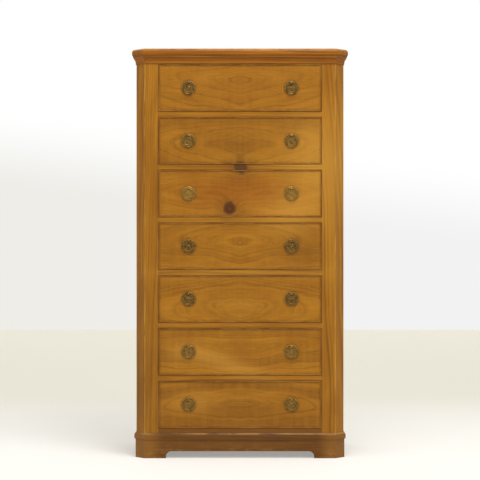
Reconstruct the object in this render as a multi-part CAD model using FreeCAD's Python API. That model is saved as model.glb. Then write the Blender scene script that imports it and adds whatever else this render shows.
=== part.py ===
import FreeCAD, Part
import math
import os
from FreeCAD import Vector

# A semainier: a tall, narrow chest with one drawer for each day of the week.
# All sizes are millimetres. +X is to the right of someone facing the chest, -Y is its front
# and +Z is up. The origin is on the floor under the middle of the whole chest.

# --- Case: plan ---------------------------------------------------------------------------
CASE_WIDTH = 712.0  # across the outer faces of the side panels
CASE_DEPTH = 380.0  # from the front plane of the posts and rails to the back
CORNER_CANT_WIDTH = 30.0  # cut off each front corner, at 45 degrees
FRONT_POST_WIDTH = 76.0  # from the side of the case to the drawer opening
FRONT_POST_DEPTH = 45.0  # also the depth of the rails between the drawers
REAR_POST_WIDTH = 40.0
REAR_POST_DEPTH = 40.0
PANEL_THICKNESS = 20.0  # side panels, flush with the outside of the posts
PANEL_TONGUE_THICKNESS = 7.0
PANEL_TONGUE_LENGTH = 9.0
BACK_BOARD_COUNT = 5
BACK_BOARD_THICKNESS = 10.0
BACK_BOARD_LAP_WIDTH = 18.0  # width of the rebate in each rear post that takes the boards
BACK_TONGUE_THICKNESS = 4.0
BACK_TONGUE_LENGTH = 5.0
JOINT_CLEARANCE = 0.2  # between the end of a tongue or tenon and the bottom of its slot

# --- Case: heights ------------------------------------------------------------------------
DRAWER_COUNT = 7
OPENING_HEIGHT = 162.5  # clear height of each drawer opening
PLINTH_HEIGHT = 64.0
BOTTOM_RAIL_HEIGHT = 38.0
RAIL_HEIGHT = 18.0  # the rails between two drawers, and the runners behind them
TOP_RAIL_HEIGHT = 28.5
BOTTOM_BOARD_THICKNESS = 18.0
BOTTOM_BOARD_HOUSING_DEPTH = 6.0  # how far the bottom board is let into each side panel
TOP_BOARD_THICKNESS = 24.0

# --- Rail joints --------------------------------------------------------------------------
TENON_LENGTH = 22.0
TENON_HEIGHT = 9.0
TENON_DEPTH = 27.0
TENON_SETBACK_DEPTH = 9.0  # from the front plane to the tenon

# --- Top and mouldings --------------------------------------------------------------------
TOP_OVERHANG = 15.0  # of the top board past the case, at the front and the sides
TOP_UPPER_RADIUS = 11.0
TOP_LOWER_RADIUS = 6.0
CORNICE_HEIGHT = 26.0
CORNICE_PROJECTION = 11.0
CORNICE_LOWER_STEP_HEIGHT = 3.0  # the flat fillets below and above the hollow
CORNICE_UPPER_STEP_HEIGHT = 5.0
CORNICE_HOLLOW_DEPTH = 2.8  # how far the hollow bows in from its chord
BASE_MOULDING_HEIGHT = 22.0
BASE_MOULDING_PROJECTION = 7.0
BASE_MOULDING_STEP_HEIGHT = 6.0  # the upright below the curve
BASE_MOULDING_TOP_WIDTH = 1.6  # the narrow flat where the curve meets the case
BASE_MOULDING_SWELL_DEPTH = 2.4  # how far the curve bows out from its chord

# --- Plinth -------------------------------------------------------------------------------
PLINTH_PROJECTION = 3.0  # past the case
PLINTH_THICKNESS = 20.0
FOOT_WIDTH = 105.0
ARCH_HEIGHT = 24.0  # from the floor to the underside between the feet
ARCH_RADIUS = 20.0
CORNER_BLOCK_WIDTH = 36.0
RUBBED_BLOCK_LENGTH = 60.0
RUBBED_BLOCK_SIZE = 20.0
FRONT_BLOCK_COUNT = 3
FRONT_BLOCK_SPACING = 150.0
SIDE_BLOCK_SPACING = 110.0

# --- Runners, guides and stops ------------------------------------------------------------
RUNNER_BEARING_WIDTH = 25.0  # how far a runner reaches in past the side of the opening
GUIDE_WIDTH = 18.0
GUIDE_HEIGHT = 20.0
STOP_WIDTH = 32.0
STOP_DEPTH = 14.0
STOP_HEIGHT = 7.0
STOP_SPACING = 300.0  # between the middles of the two stops behind one drawer front

# --- Drawers ------------------------------------------------------------------------------
FRONT_GAP = 1.2  # all round the beaded front in its opening
RUNNING_CLEARANCE = 0.3  # below the sides, and between a closed front and its stops
DRAWER_REAR_SPACE = 30.0  # between the drawer box and the back boards
DRAWER_FRONT_THICKNESS = 20.0
DRAWER_SIDE_THICKNESS = 12.0
DRAWER_BACK_THICKNESS = 12.0
DRAWER_BOTTOM_THICKNESS = 6.0
SIDE_TOP_CLEARANCE = 3.0  # between a drawer side and the runner above
BACK_SETDOWN_HEIGHT = 5.0  # of the drawer back below the sides
BOTTOM_RISE_HEIGHT = 10.0  # of the drawer bottom above the lower edge of the sides
BOTTOM_GROOVE_DEPTH = 6.0
FRONT_LAP_THICKNESS = 8.0  # wood left in front of the dovetails
FRONT_TAIL_COUNT = 3
BACK_TAIL_COUNT = 3
TAIL_WIDTH = 34.0  # at the wide end of each tail
HALF_PIN_WIDTH = 6.0  # above the top tail and below the bottom one, at their wide ends
TAIL_SLOPE = 1.0 / 6.0
BEAD_THICKNESS = 3.0  # cock bead let into a rebate round the drawer front
BEAD_DEPTH = 7.5
BEAD_PROJECTION = 2.0
BEAD_BEVEL_WIDTH = 0.9
MITRE_GAP = 0.1  # hairline where two strips of bead meet

# --- Ring pulls ---------------------------------------------------------------------------
PULL_SPACING = 352.0  # between the two pulls of a drawer
PLATE_RADIUS = 24.0
PLATE_THICKNESS = 1.4  # in the sunk field
RIM_HEIGHT = 2.6
RIM_TOP_RADIUS = 22.4
FIELD_RADIUS = 19.5
BOSS_RADIUS = 7.0
BOSS_TOP_RADIUS = 4.5
BOSS_HEIGHT = 2.8
RING_RADIUS = 16.5  # to the middle of the bar
RING_BAR_RADIUS = 2.1
RING_STANDOFF = 7.0  # from the drawer front to the middle of the hanging ring
EYE_LENGTH = 5.0
EYE_WALL = 1.9
EYE_CLEARANCE = 0.4  # round the bar in its eye
EYE_NECK_HEIGHT = 6.0
ROUND_FACETS = 20  # flat facets round a plate or a ring
BAR_FACETS = 6  # round the bar of a ring
EYE_FACETS = 8

# --- Planes worked out from the sizes above --------------------------------------------------
FRONT_Y = -(CASE_DEPTH - TOP_OVERHANG) / 2
BACK_Y = FRONT_Y + CASE_DEPTH
CASE_HALF = CASE_WIDTH / 2
OPENING_HALF = CASE_HALF - FRONT_POST_WIDTH
PANEL_INNER = CASE_HALF - PANEL_THICKNESS
POST_BACK_Y = FRONT_Y + FRONT_POST_DEPTH
REAR_POST_Y = BACK_Y - REAR_POST_DEPTH
REAR_POST_INNER = CASE_HALF - REAR_POST_WIDTH
BACK_BOARD_Y = BACK_Y - BACK_BOARD_THICKNESS
BOTTOM_RAIL_TOP = PLINTH_HEIGHT + BOTTOM_RAIL_HEIGHT
PITCH = OPENING_HEIGHT + RAIL_HEIGHT
OPENINGS_TOP = BOTTOM_RAIL_TOP + DRAWER_COUNT * PITCH - RAIL_HEIGHT
CASE_TOP = OPENINGS_TOP + TOP_RAIL_HEIGHT
MITRE = math.tan(math.radians(22.5))  # shift of a 45 degree corner per unit of offset
EDGE_REACH = 0.5  # an edge this near a plane lies on it
ACROSS = Vector(1, 0, 0)
OUTWARDS = Vector(0, -1, 0)
UPWARDS = Vector(0, 0, 1)
FRONT_HALF = OPENING_HALF - FRONT_GAP
SIDE_INNER = FRONT_HALF - DRAWER_SIDE_THICKNESS
FRONT_BACK_Y = FRONT_Y + DRAWER_FRONT_THICKNESS
BOX_BACK_Y = BACK_BOARD_Y - DRAWER_REAR_SPACE
BOX_INNER_BACK_Y = BOX_BACK_Y - DRAWER_BACK_THICKNESS
FRONT_LOW = FRONT_GAP
FRONT_HIGH = OPENING_HEIGHT - FRONT_GAP
SIDE_LOW = RUNNING_CLEARANCE
SIDE_HIGH = OPENING_HEIGHT - SIDE_TOP_CLEARANCE
BOTTOM_LOW = SIDE_LOW + BOTTOM_RISE_HEIGHT
BOTTOM_HIGH = BOTTOM_LOW + DRAWER_BOTTOM_THICKNESS
BACK_HIGH = SIDE_HIGH - BACK_SETDOWN_HEIGHT
PULL_HEIGHT = OPENING_HEIGHT / 2
EYE_HOLE_RADIUS = RING_BAR_RADIUS + EYE_CLEARANCE
EYE_RADIUS = EYE_HOLE_RADIUS + EYE_WALL


# --- Helpers ------------------------------------------------------------------------------
def block(x_low, x_high, y_low, y_high, z_low, z_high):
    """A rectangular piece between two planes each way."""
    corner = Vector(x_low, y_low, z_low)
    return Part.makeBox(x_high - x_low, y_high - y_low, z_high - z_low, corner)


def flat_face(points):
    """A flat face inside a loop of points."""
    return Part.Face(Part.makePolygon(points + points[:1]))


def upright(plan, z_low, z_high):
    """A piece with the plan [(x, y), ...] and level ends."""
    foot = flat_face([Vector(x, y, z_low) for x, y in plan])
    return foot.extrude(Vector(0, 0, z_high - z_low))


def moved(shape, x=0.0, y=0.0, z=0.0):
    """A copy of a shape, shifted."""
    copy = shape.copy()
    copy.translate(Vector(x, y, z))
    return copy


def mirrored(shape):
    """The same piece for the other side of the chest."""
    return shape.mirror(Vector(0, 0, 0), Vector(1, 0, 0))


def bowed_edge(start, end, bow):
    """An arc from start to end whose middle lies bow to the left of the straight line."""
    chord = end - start
    left = Vector(-chord.z, 0, chord.x).normalize()
    middle = (start + end) * 0.5 + left * bow
    return Part.Arc(start, middle, end).toShape()


def straight_edges(points):
    """Straight edges through a list of points."""
    return [Part.makeLine(a, b) for a, b in zip(points, points[1:])]


def flat_sided(loops, in_a_circle=False):
    """A solid of flat faces from each loop of points to the next one.

    The first and last loops are closed with a face, unless the loops run in a circle.
    """
    faces = []
    followers = loops[1:] + loops[:1] if in_a_circle else loops[1:]
    for loop, follower in zip(loops, followers):
        for i in range(len(loop)):
            k = (i + 1) % len(loop)
            faces.append(flat_face([loop[i], loop[k], follower[k], follower[i]]))
    if not in_a_circle:
        faces += [flat_face(loops[0]), flat_face(loops[-1])]
    solid = Part.Solid(Part.Shell(faces))
    if solid.Volume < 0:
        solid.reverse()
    return solid


def save(node, solids):
    """Write the solids of one sub-part."""
    shape = solids[0] if len(solids) == 1 else Part.makeCompound(solids)
    shape.exportStep("parts/" + node + ".step")


# --- Case outline and mitred lengths ------------------------------------------------------
def case_outline(offset):
    """Plan of the case, offset outwards, from its left back corner round to its right one."""
    side = CASE_HALF + offset
    cant_y = FRONT_Y + CORNER_CANT_WIDTH - offset * MITRE
    cant_x = CASE_HALF - CORNER_CANT_WIDTH + offset * MITRE
    front = FRONT_Y - offset
    return [
        (-side, BACK_Y),
        (-side, cant_y),
        (-cant_x, front),
        (cant_x, front),
        (side, cant_y),
        (side, BACK_Y),
    ]


def mitred_lengths(section, inner, outer):
    """Lengths with one section round the sides, cants and front, mitred where they meet.

    The section is a wire in the XZ plane: X is outwards from the case, between the offsets
    inner and outer, and Z is up.
    """
    bounds = section.BoundBox
    path = case_outline(0)
    near = case_outline(inner)
    far = case_outline(outer)
    spare = (outer - inner) + abs(inner)
    lengths = []
    for i in range(len(path) - 1):
        start = Vector(*path[i], 0)
        run = Vector(*path[i + 1], 0) - start
        along = Vector(run).normalize()
        outwards = math.degrees(math.atan2(-along.x, along.y))
        turn = FreeCAD.Rotation(Vector(0, 0, 1), outwards)
        placed = section.copy()
        placed.Placement = FreeCAD.Placement(start - along * spare, turn)
        bar = Part.Face(placed).extrude(along * (run.Length + 2 * spare))
        sector = upright([near[i], far[i], far[i + 1], near[i + 1]], bounds.ZMin, bounds.ZMax)
        lengths += bar.common(sector).Solids
    return lengths


def cornice_section():
    """A hollow between two flat fillets, under the top board."""
    low = CASE_TOP - CORNICE_HEIGHT
    hollow_start = Vector(CORNICE_LOWER_STEP_HEIGHT, 0, low + CORNICE_LOWER_STEP_HEIGHT)
    hollow_end = Vector(CORNICE_PROJECTION, 0, CASE_TOP - CORNICE_UPPER_STEP_HEIGHT)
    foot = [Vector(0, 0, low), Vector(CORNICE_LOWER_STEP_HEIGHT, 0, low), hollow_start]
    head = [hollow_end, Vector(CORNICE_PROJECTION, 0, CASE_TOP), Vector(0, 0, CASE_TOP), foot[0]]
    hollow = bowed_edge(hollow_start, hollow_end, CORNICE_HOLLOW_DEPTH)
    return Part.Wire(straight_edges(foot) + [hollow] + straight_edges(head))


def base_moulding_section():
    """A swelling curve that leads from the plinth in to the case."""
    low = PLINTH_HEIGHT
    high = low + BASE_MOULDING_HEIGHT
    curve_start = Vector(BASE_MOULDING_PROJECTION, 0, low + BASE_MOULDING_STEP_HEIGHT)
    curve_end = Vector(BASE_MOULDING_TOP_WIDTH, 0, high)
    foot = [Vector(0, 0, low), Vector(BASE_MOULDING_PROJECTION, 0, low), curve_start]
    head = [curve_end, Vector(0, 0, high), foot[0]]
    swell = bowed_edge(curve_start, curve_end, -BASE_MOULDING_SWELL_DEPTH)
    return Part.Wire(straight_edges(foot) + [swell] + straight_edges(head))


def plinth_section():
    """The plain board of the plinth."""
    inner = PLINTH_PROJECTION - PLINTH_THICKNESS
    corners = [
        Vector(inner, 0, 0),
        Vector(PLINTH_PROJECTION, 0, 0),
        Vector(PLINTH_PROJECTION, 0, PLINTH_HEIGHT),
        Vector(inner, 0, PLINTH_HEIGHT),
    ]
    return Part.makePolygon(corners + corners[:1])


# --- Case ---------------------------------------------------------------------------------
def tongue(x_middle, y_edge, reach):
    """Plan of a side panel's tongue, or of its groove, from y_edge as far as reach."""
    half = PANEL_TONGUE_THICKNESS / 2
    y_low, y_high = sorted((y_edge, y_edge + reach))
    return [
        (x_middle - half, y_low),
        (x_middle + half, y_low),
        (x_middle + half, y_high),
        (x_middle - half, y_high),
    ]


def rail_levels():
    """(low, high) of the front rails, from the bottom one to the top one."""
    levels = [(PLINTH_HEIGHT, BOTTOM_RAIL_TOP)]
    for i in range(1, DRAWER_COUNT):
        low = BOTTOM_RAIL_TOP + i * PITCH - RAIL_HEIGHT
        levels.append((low, low + RAIL_HEIGHT))
    levels.append((OPENINGS_TOP, CASE_TOP))
    return levels


def tenon(level, reach):
    """The tenon at the right end of a rail, or its mortise, in the middle of the rail."""
    middle = (level[0] + level[1]) / 2
    y_low = FRONT_Y + TENON_SETBACK_DEPTH
    return block(
        OPENING_HALF,
        OPENING_HALF + reach,
        y_low,
        y_low + TENON_DEPTH,
        middle - TENON_HEIGHT / 2,
        middle + TENON_HEIGHT / 2,
    )


def front_rails():
    """Rails across the front, tenoned into the corner posts."""
    rails = []
    for level in rail_levels():
        rail = block(-OPENING_HALF, OPENING_HALF, FRONT_Y, POST_BACK_Y, *level)
        right_tenon = tenon(level, TENON_LENGTH)
        rails.append(rail.fuse([right_tenon, mirrored(right_tenon)]).removeSplitter())
    return rails


def front_post():
    """The right corner post: canted in front, grooved behind and mortised inside."""
    plan = [
        (OPENING_HALF, FRONT_Y),
        (CASE_HALF - CORNER_CANT_WIDTH, FRONT_Y),
        (CASE_HALF, FRONT_Y + CORNER_CANT_WIDTH),
        (CASE_HALF, POST_BACK_Y),
        (OPENING_HALF, POST_BACK_Y),
    ]
    panel_middle = CASE_HALF - PANEL_THICKNESS / 2
    groove = tongue(panel_middle, POST_BACK_Y, -(PANEL_TONGUE_LENGTH + JOINT_CLEARANCE))
    slots = [upright(groove, PLINTH_HEIGHT, CASE_TOP)]
    slots += [tenon(level, TENON_LENGTH + JOINT_CLEARANCE) for level in rail_levels()]
    return upright(plan, PLINTH_HEIGHT, CASE_TOP).cut(slots)


def rear_post():
    """The right rear post, rebated for the back boards and grooved for the side panel."""
    plan = [
        (REAR_POST_INNER, REAR_POST_Y),
        (CASE_HALF, REAR_POST_Y),
        (CASE_HALF, BACK_Y),
        (REAR_POST_INNER + BACK_BOARD_LAP_WIDTH, BACK_Y),
        (REAR_POST_INNER + BACK_BOARD_LAP_WIDTH, BACK_BOARD_Y),
        (REAR_POST_INNER, BACK_BOARD_Y),
    ]
    panel_middle = CASE_HALF - PANEL_THICKNESS / 2
    groove = tongue(panel_middle, REAR_POST_Y, PANEL_TONGUE_LENGTH + JOINT_CLEARANCE)
    return upright(plan, PLINTH_HEIGHT, CASE_TOP).cut(upright(groove, PLINTH_HEIGHT, CASE_TOP))


def side_panel():
    """The right side panel, tongued into both posts and housed for the bottom board."""
    middle = CASE_HALF - PANEL_THICKNESS / 2
    board = block(PANEL_INNER, CASE_HALF, POST_BACK_Y, REAR_POST_Y, PLINTH_HEIGHT, CASE_TOP)
    tongues = [
        upright(tongue(middle, POST_BACK_Y, -PANEL_TONGUE_LENGTH), PLINTH_HEIGHT, CASE_TOP),
        upright(tongue(middle, REAR_POST_Y, PANEL_TONGUE_LENGTH), PLINTH_HEIGHT, CASE_TOP),
    ]
    housing = block(
        PANEL_INNER,
        PANEL_INNER + BOTTOM_BOARD_HOUSING_DEPTH,
        POST_BACK_Y,
        REAR_POST_Y,
        BOTTOM_RAIL_TOP - BOTTOM_BOARD_THICKNESS,
        BOTTOM_RAIL_TOP,
    )
    return board.fuse(tongues).removeSplitter().cut(housing)


def bottom_board():
    """The bottom of the case, level with the bottom rail and notched round the rear posts."""
    housed = PANEL_INNER + BOTTOM_BOARD_HOUSING_DEPTH
    plan = [
        (-housed, POST_BACK_Y),
        (housed, POST_BACK_Y),
        (housed, REAR_POST_Y),
        (REAR_POST_INNER, REAR_POST_Y),
        (REAR_POST_INNER, BACK_BOARD_Y),
        (-REAR_POST_INNER, BACK_BOARD_Y),
        (-REAR_POST_INNER, REAR_POST_Y),
        (-housed, REAR_POST_Y),
    ]
    return upright(plan, BOTTOM_RAIL_TOP - BOTTOM_BOARD_THICKNESS, BOTTOM_RAIL_TOP)


def back_boards():
    """Upright boards across the back, tongued and grooved into one another."""
    half = REAR_POST_INNER + BACK_BOARD_LAP_WIDTH
    width = 2 * half / BACK_BOARD_COUNT
    middle = (BACK_BOARD_Y + BACK_Y) / 2
    low = middle - BACK_TONGUE_THICKNESS / 2
    high = middle + BACK_TONGUE_THICKNESS / 2
    boards = []
    for i in range(BACK_BOARD_COUNT):
        left = -half + i * width
        board = block(left, left + width, BACK_BOARD_Y, BACK_Y, PLINTH_HEIGHT, CASE_TOP)
        if i > 0:
            groove = BACK_TONGUE_LENGTH + JOINT_CLEARANCE
            board = board.cut(block(left, left + groove, low, high, PLINTH_HEIGHT, CASE_TOP))
        if i < BACK_BOARD_COUNT - 1:
            right = left + width
            edge = block(right, right + BACK_TONGUE_LENGTH, low, high, PLINTH_HEIGHT, CASE_TOP)
            board = board.fuse(edge).removeSplitter()
        boards.append(board)
    return boards


def round_rim(board, height, radius):
    """Round the edges of a level board at one height, apart from the one at the back."""
    rim = []
    for edge in board.Edges:
        middle = edge.CenterOfMass
        if abs(middle.z - height) < EDGE_REACH and middle.y < BACK_Y - EDGE_REACH:
            rim.append(edge)
    return board.makeFillet(radius, rim)


def top_board():
    """The top, canted like the case, with a rounded edge at the front and the sides."""
    top = CASE_TOP + TOP_BOARD_THICKNESS
    board = upright(case_outline(TOP_OVERHANG), CASE_TOP, top)
    largest = TOP_BOARD_THICKNESS / 2 - EDGE_REACH
    board = round_rim(board, top, min(TOP_UPPER_RADIUS, largest))
    return round_rim(board, CASE_TOP, min(TOP_LOWER_RADIUS, largest))


# --- Runners, guides and stops ------------------------------------------------------------
def opening_floor(number):
    """Height of the lower edge of a drawer's opening; drawer 1 is the top one."""
    return OPENINGS_TOP - OPENING_HEIGHT - (number - 1) * PITCH


def drawer_numbers():
    """The drawers from the top one down."""
    return range(1, DRAWER_COUNT + 1)


def runners():
    """A pair of runners behind each rail, and a pair of kickers behind the top rail."""
    right = block(
        OPENING_HALF - RUNNER_BEARING_WIDTH, PANEL_INNER, POST_BACK_Y, REAR_POST_Y, 0, RAIL_HEIGHT
    )
    pair = [right, mirrored(right)]
    levels = [level[0] for level in rail_levels()[1:]]
    return [moved(runner, z=level) for level in levels for runner in pair]


def guides():
    """A strip beside each drawer side, to keep it straight as it slides."""
    right = block(
        OPENING_HALF, OPENING_HALF + GUIDE_WIDTH, POST_BACK_Y, REAR_POST_Y, 0, GUIDE_HEIGHT
    )
    pair = [right, mirrored(right)]
    return [moved(guide, z=opening_floor(n)) for n in drawer_numbers() for guide in pair]


def stops():
    """Two blocks on each rail, which the drawer front meets when it is shut."""
    y_low = FRONT_BACK_Y + RUNNING_CLEARANCE
    x_low = STOP_SPACING / 2 - STOP_WIDTH / 2
    right = block(x_low, x_low + STOP_WIDTH, y_low, y_low + STOP_DEPTH, 0, STOP_HEIGHT)
    pair = [right, mirrored(right)]
    return [moved(stop, z=opening_floor(n)) for n in drawer_numbers() for stop in pair]


# --- Plinth -------------------------------------------------------------------------------
def arch(half_span):
    """The opening between two feet, seen from the front, with rounded upper corners."""
    shoulder = ARCH_HEIGHT - ARCH_RADIUS
    crown = half_span - ARCH_RADIUS
    edge = ARCH_RADIUS * math.cos(math.radians(45))
    left_turn = Part.Arc(
        Vector(-half_span, 0, shoulder),
        Vector(-crown - edge, 0, shoulder + edge),
        Vector(-crown, 0, ARCH_HEIGHT),
    )
    right_turn = Part.Arc(
        Vector(crown, 0, ARCH_HEIGHT),
        Vector(crown + edge, 0, shoulder + edge),
        Vector(half_span, 0, shoulder),
    )
    below = -PLINTH_HEIGHT
    legs = [
        Vector(half_span, 0, shoulder),
        Vector(half_span, 0, below),
        Vector(-half_span, 0, below),
        Vector(-half_span, 0, shoulder),
    ]
    crown_line = Part.makeLine(Vector(-crown, 0, ARCH_HEIGHT), Vector(crown, 0, ARCH_HEIGHT))
    edges = [left_turn.toShape(), crown_line, right_turn.toShape()] + straight_edges(legs)
    return Part.Face(Part.Wire(edges))


def front_arch():
    """Cutter for the front and back of the plinth."""
    half_span = CASE_HALF + PLINTH_PROJECTION - FOOT_WIDTH
    cutter = arch(half_span).extrude(Vector(0, 2 * CASE_DEPTH, 0))
    return moved(cutter, y=-CASE_DEPTH)


def side_arch():
    """Cutter for both sides of the plinth."""
    front = FRONT_Y - PLINTH_PROJECTION
    half_span = (BACK_Y - front) / 2 - FOOT_WIDTH
    cutter = arch(half_span).extrude(Vector(0, 2 * CASE_WIDTH, 0))
    cutter.rotate(Vector(0, 0, 0), Vector(0, 0, 1), -90)
    return moved(cutter, x=-CASE_WIDTH, y=(BACK_Y + front) / 2)


def plinth():
    """(front pieces, side pieces): the mitred boards, arched between the feet."""
    inner = PLINTH_PROJECTION - PLINTH_THICKNESS
    left, left_cant, front, right_cant, right = mitred_lengths(
        plinth_section(), inner, PLINTH_PROJECTION
    )
    sides = [side.cut(side_arch()) for side in (left, right)]
    return [left_cant, front.cut(front_arch()), right_cant], sides


def plinth_back():
    """The back of the plinth, between its sides, with the same opening as the front."""
    half = CASE_HALF + PLINTH_PROJECTION - PLINTH_THICKNESS
    board = block(-half, half, BACK_Y - PLINTH_THICKNESS, BACK_Y, 0, PLINTH_HEIGHT)
    return board.cut(front_arch())


def glue_blocks():
    """Square blocks behind the feet, and rubbed blocks along the top of the plinth."""
    inner = PLINTH_PROJECTION - PLINTH_THICKNESS
    side = CASE_HALF + inner
    front = FRONT_Y - inner
    back = BACK_Y - PLINTH_THICKNESS
    inside = upright(case_outline(inner), 0, PLINTH_HEIGHT)
    corner = side - CORNER_BLOCK_WIDTH
    low = PLINTH_HEIGHT - RUBBED_BLOCK_SIZE
    rear_foot = block(corner, side, back - CORNER_BLOCK_WIDTH, back, 0, PLINTH_HEIGHT)
    front_foot = block(
        corner, side, front, front + CORNER_CANT_WIDTH + CORNER_BLOCK_WIDTH, 0, PLINTH_HEIGHT
    ).common(inside)
    right = [rear_foot, front_foot]
    middle = (front + back) / 2
    for y in (middle - SIDE_BLOCK_SPACING / 2, middle + SIDE_BLOCK_SPACING / 2):
        low_y = y - RUBBED_BLOCK_LENGTH / 2
        high_y = y + RUBBED_BLOCK_LENGTH / 2
        right.append(
            block(side - RUBBED_BLOCK_SIZE, side, low_y, high_y, low, PLINTH_HEIGHT)
        )
    blocks = right + [mirrored(piece) for piece in right]
    for i in range(FRONT_BLOCK_COUNT):
        x = (i - (FRONT_BLOCK_COUNT - 1) / 2) * FRONT_BLOCK_SPACING
        half = RUBBED_BLOCK_LENGTH / 2
        blocks.append(
            block(x - half, x + half, front, front + RUBBED_BLOCK_SIZE, low, PLINTH_HEIGHT)
        )
    return blocks


# --- Drawers: every solid is made with the floor of its opening at height 0 ------------------
def tails(count, low, high, tip_y, root_y):
    """Dovetail tails at the right end of the drawer, spaced evenly from low to high.

    Each is as thick as the drawer side, widest at tip_y and narrowest at root_y.
    """
    wide = TAIL_WIDTH / 2
    narrow = wide - TAIL_SLOPE * abs(tip_y - root_y)
    lowest = low + HALF_PIN_WIDTH + wide
    step = (high - HALF_PIN_WIDTH - wide - lowest) / (count - 1)
    pieces = []
    for i in range(count):
        middle = lowest + i * step
        corners = [
            Vector(SIDE_INNER, tip_y, middle - wide),
            Vector(SIDE_INNER, tip_y, middle + wide),
            Vector(SIDE_INNER, root_y, middle + narrow),
            Vector(SIDE_INNER, root_y, middle - narrow),
        ]
        pieces.append(flat_face(corners).extrude(Vector(DRAWER_SIDE_THICKNESS, 0, 0)))
    return pieces


def front_tails():
    """Tails of the right side that are lapped by the drawer front."""
    return tails(FRONT_TAIL_COUNT, SIDE_LOW, SIDE_HIGH, FRONT_Y + FRONT_LAP_THICKNESS, FRONT_BACK_Y)


def back_tails():
    """Tails of the right side that show at the drawer back."""
    return tails(BACK_TAIL_COUNT, BOTTOM_HIGH, BACK_HIGH, BOX_BACK_Y, BOX_INNER_BACK_Y)


def bottom_groove():
    """The groove round the drawer box that takes the bottom."""
    reach = SIDE_INNER + BOTTOM_GROOVE_DEPTH
    front = FRONT_BACK_Y - BOTTOM_GROOVE_DEPTH
    return block(-reach, reach, front, BOX_BACK_Y, BOTTOM_LOW, BOTTOM_HIGH)


def drawer_front():
    """The front: lapped dovetail sockets, a groove behind and a rebate for the cock bead."""
    board = block(-FRONT_HALF, FRONT_HALF, FRONT_Y, FRONT_BACK_Y, FRONT_LOW, FRONT_HIGH)
    core = block(
        BEAD_THICKNESS - FRONT_HALF,
        FRONT_HALF - BEAD_THICKNESS,
        FRONT_Y,
        FRONT_Y + BEAD_DEPTH,
        FRONT_LOW + BEAD_THICKNESS,
        FRONT_HIGH - BEAD_THICKNESS,
    )
    rim = block(
        -FRONT_HALF, FRONT_HALF, FRONT_Y, FRONT_Y + BEAD_DEPTH, FRONT_LOW, FRONT_HIGH
    ).cut(core)
    sockets = front_tails()
    sockets += [mirrored(socket) for socket in sockets]
    return board.cut([rim, bottom_groove()] + sockets)


def cock_bead():
    """Four strips with a softened nose, mitred round the drawer front."""
    back = FRONT_Y + BEAD_DEPTH
    nose = FRONT_Y - BEAD_PROJECTION
    section = [
        (0, back),
        (0, nose + BEAD_BEVEL_WIDTH),
        (BEAD_BEVEL_WIDTH, nose),
        (BEAD_THICKNESS - BEAD_BEVEL_WIDTH, nose),
        (BEAD_THICKNESS, nose + BEAD_BEVEL_WIDTH),
        (BEAD_THICKNESS, back),
    ]
    corners = [
        (-FRONT_HALF, FRONT_LOW, 1, 1),
        (FRONT_HALF, FRONT_LOW, -1, 1),
        (FRONT_HALF, FRONT_HIGH, -1, -1),
        (-FRONT_HALF, FRONT_HIGH, 1, -1),
    ]
    mitres = []
    for x, z, inward_x, inward_z in corners:
        mitres.append([Vector(x + inward_x * u, y, z + inward_z * u) for u, y in section])
    strips = []
    for start, end in zip(mitres, mitres[1:] + mitres[:1]):
        trim = Vector(end[0] - start[0]).normalize() * (MITRE_GAP / 2)
        strips.append(flat_sided([[p + trim for p in start], [p - trim for p in end]]))
    return strips


def drawer_side():
    """The right side of the drawer box, with tails at both ends and a groove for the bottom."""
    body = block(SIDE_INNER, FRONT_HALF, FRONT_BACK_Y, BOX_INNER_BACK_Y, SIDE_LOW, SIDE_HIGH)
    foot = block(SIDE_INNER, FRONT_HALF, BOX_INNER_BACK_Y, BOX_BACK_Y, SIDE_LOW, BOTTOM_HIGH)
    side = body.fuse([foot] + front_tails() + back_tails()).removeSplitter()
    return side.cut(bottom_groove())


def drawer_back():
    """The back of the drawer box, standing on the bottom, with pins between the tails."""
    board = block(
        -FRONT_HALF, FRONT_HALF, BOX_INNER_BACK_Y, BOX_BACK_Y, BOTTOM_HIGH, BACK_HIGH
    )
    sockets = back_tails()
    sockets += [mirrored(socket) for socket in sockets]
    return board.cut(sockets)


def drawer_bottom():
    """A thin board slid in from the back, in the grooves of the sides and the front."""
    reach = SIDE_INNER + BOTTOM_GROOVE_DEPTH - JOINT_CLEARANCE
    front = FRONT_BACK_Y - BOTTOM_GROOVE_DEPTH + JOINT_CLEARANCE
    return block(-reach, reach, front, BOX_BACK_Y, BOTTOM_LOW, BOTTOM_HIGH)


# --- Ring pulls: made for a plate with its middle at (0, FRONT_Y, 0) ----------------------------
def round_loop(count, radius, centre, first, second, phase=0.0):
    """Evenly spaced points round a circle, from the direction first towards second."""
    loop = []
    for i in range(count):
        turn = (i + phase) * 2 * math.pi / count
        loop.append(centre + first * (radius * math.cos(turn)) + second * (radius * math.sin(turn)))
    return loop


def turned_plate():
    """The round plate: a raised rim, a sunk field and a boss, in flat facets."""
    profile = [
        (PLATE_RADIUS, 0),
        (RIM_TOP_RADIUS, RIM_HEIGHT),
        (FIELD_RADIUS, PLATE_THICKNESS),
        (BOSS_RADIUS, PLATE_THICKNESS),
        (BOSS_TOP_RADIUS, BOSS_HEIGHT),
    ]
    loops = [
        round_loop(ROUND_FACETS, radius, Vector(0, -height, 0), ACROSS, UPWARDS)
        for radius, height in profile
    ]
    return flat_sided(loops).removeSplitter()


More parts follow.
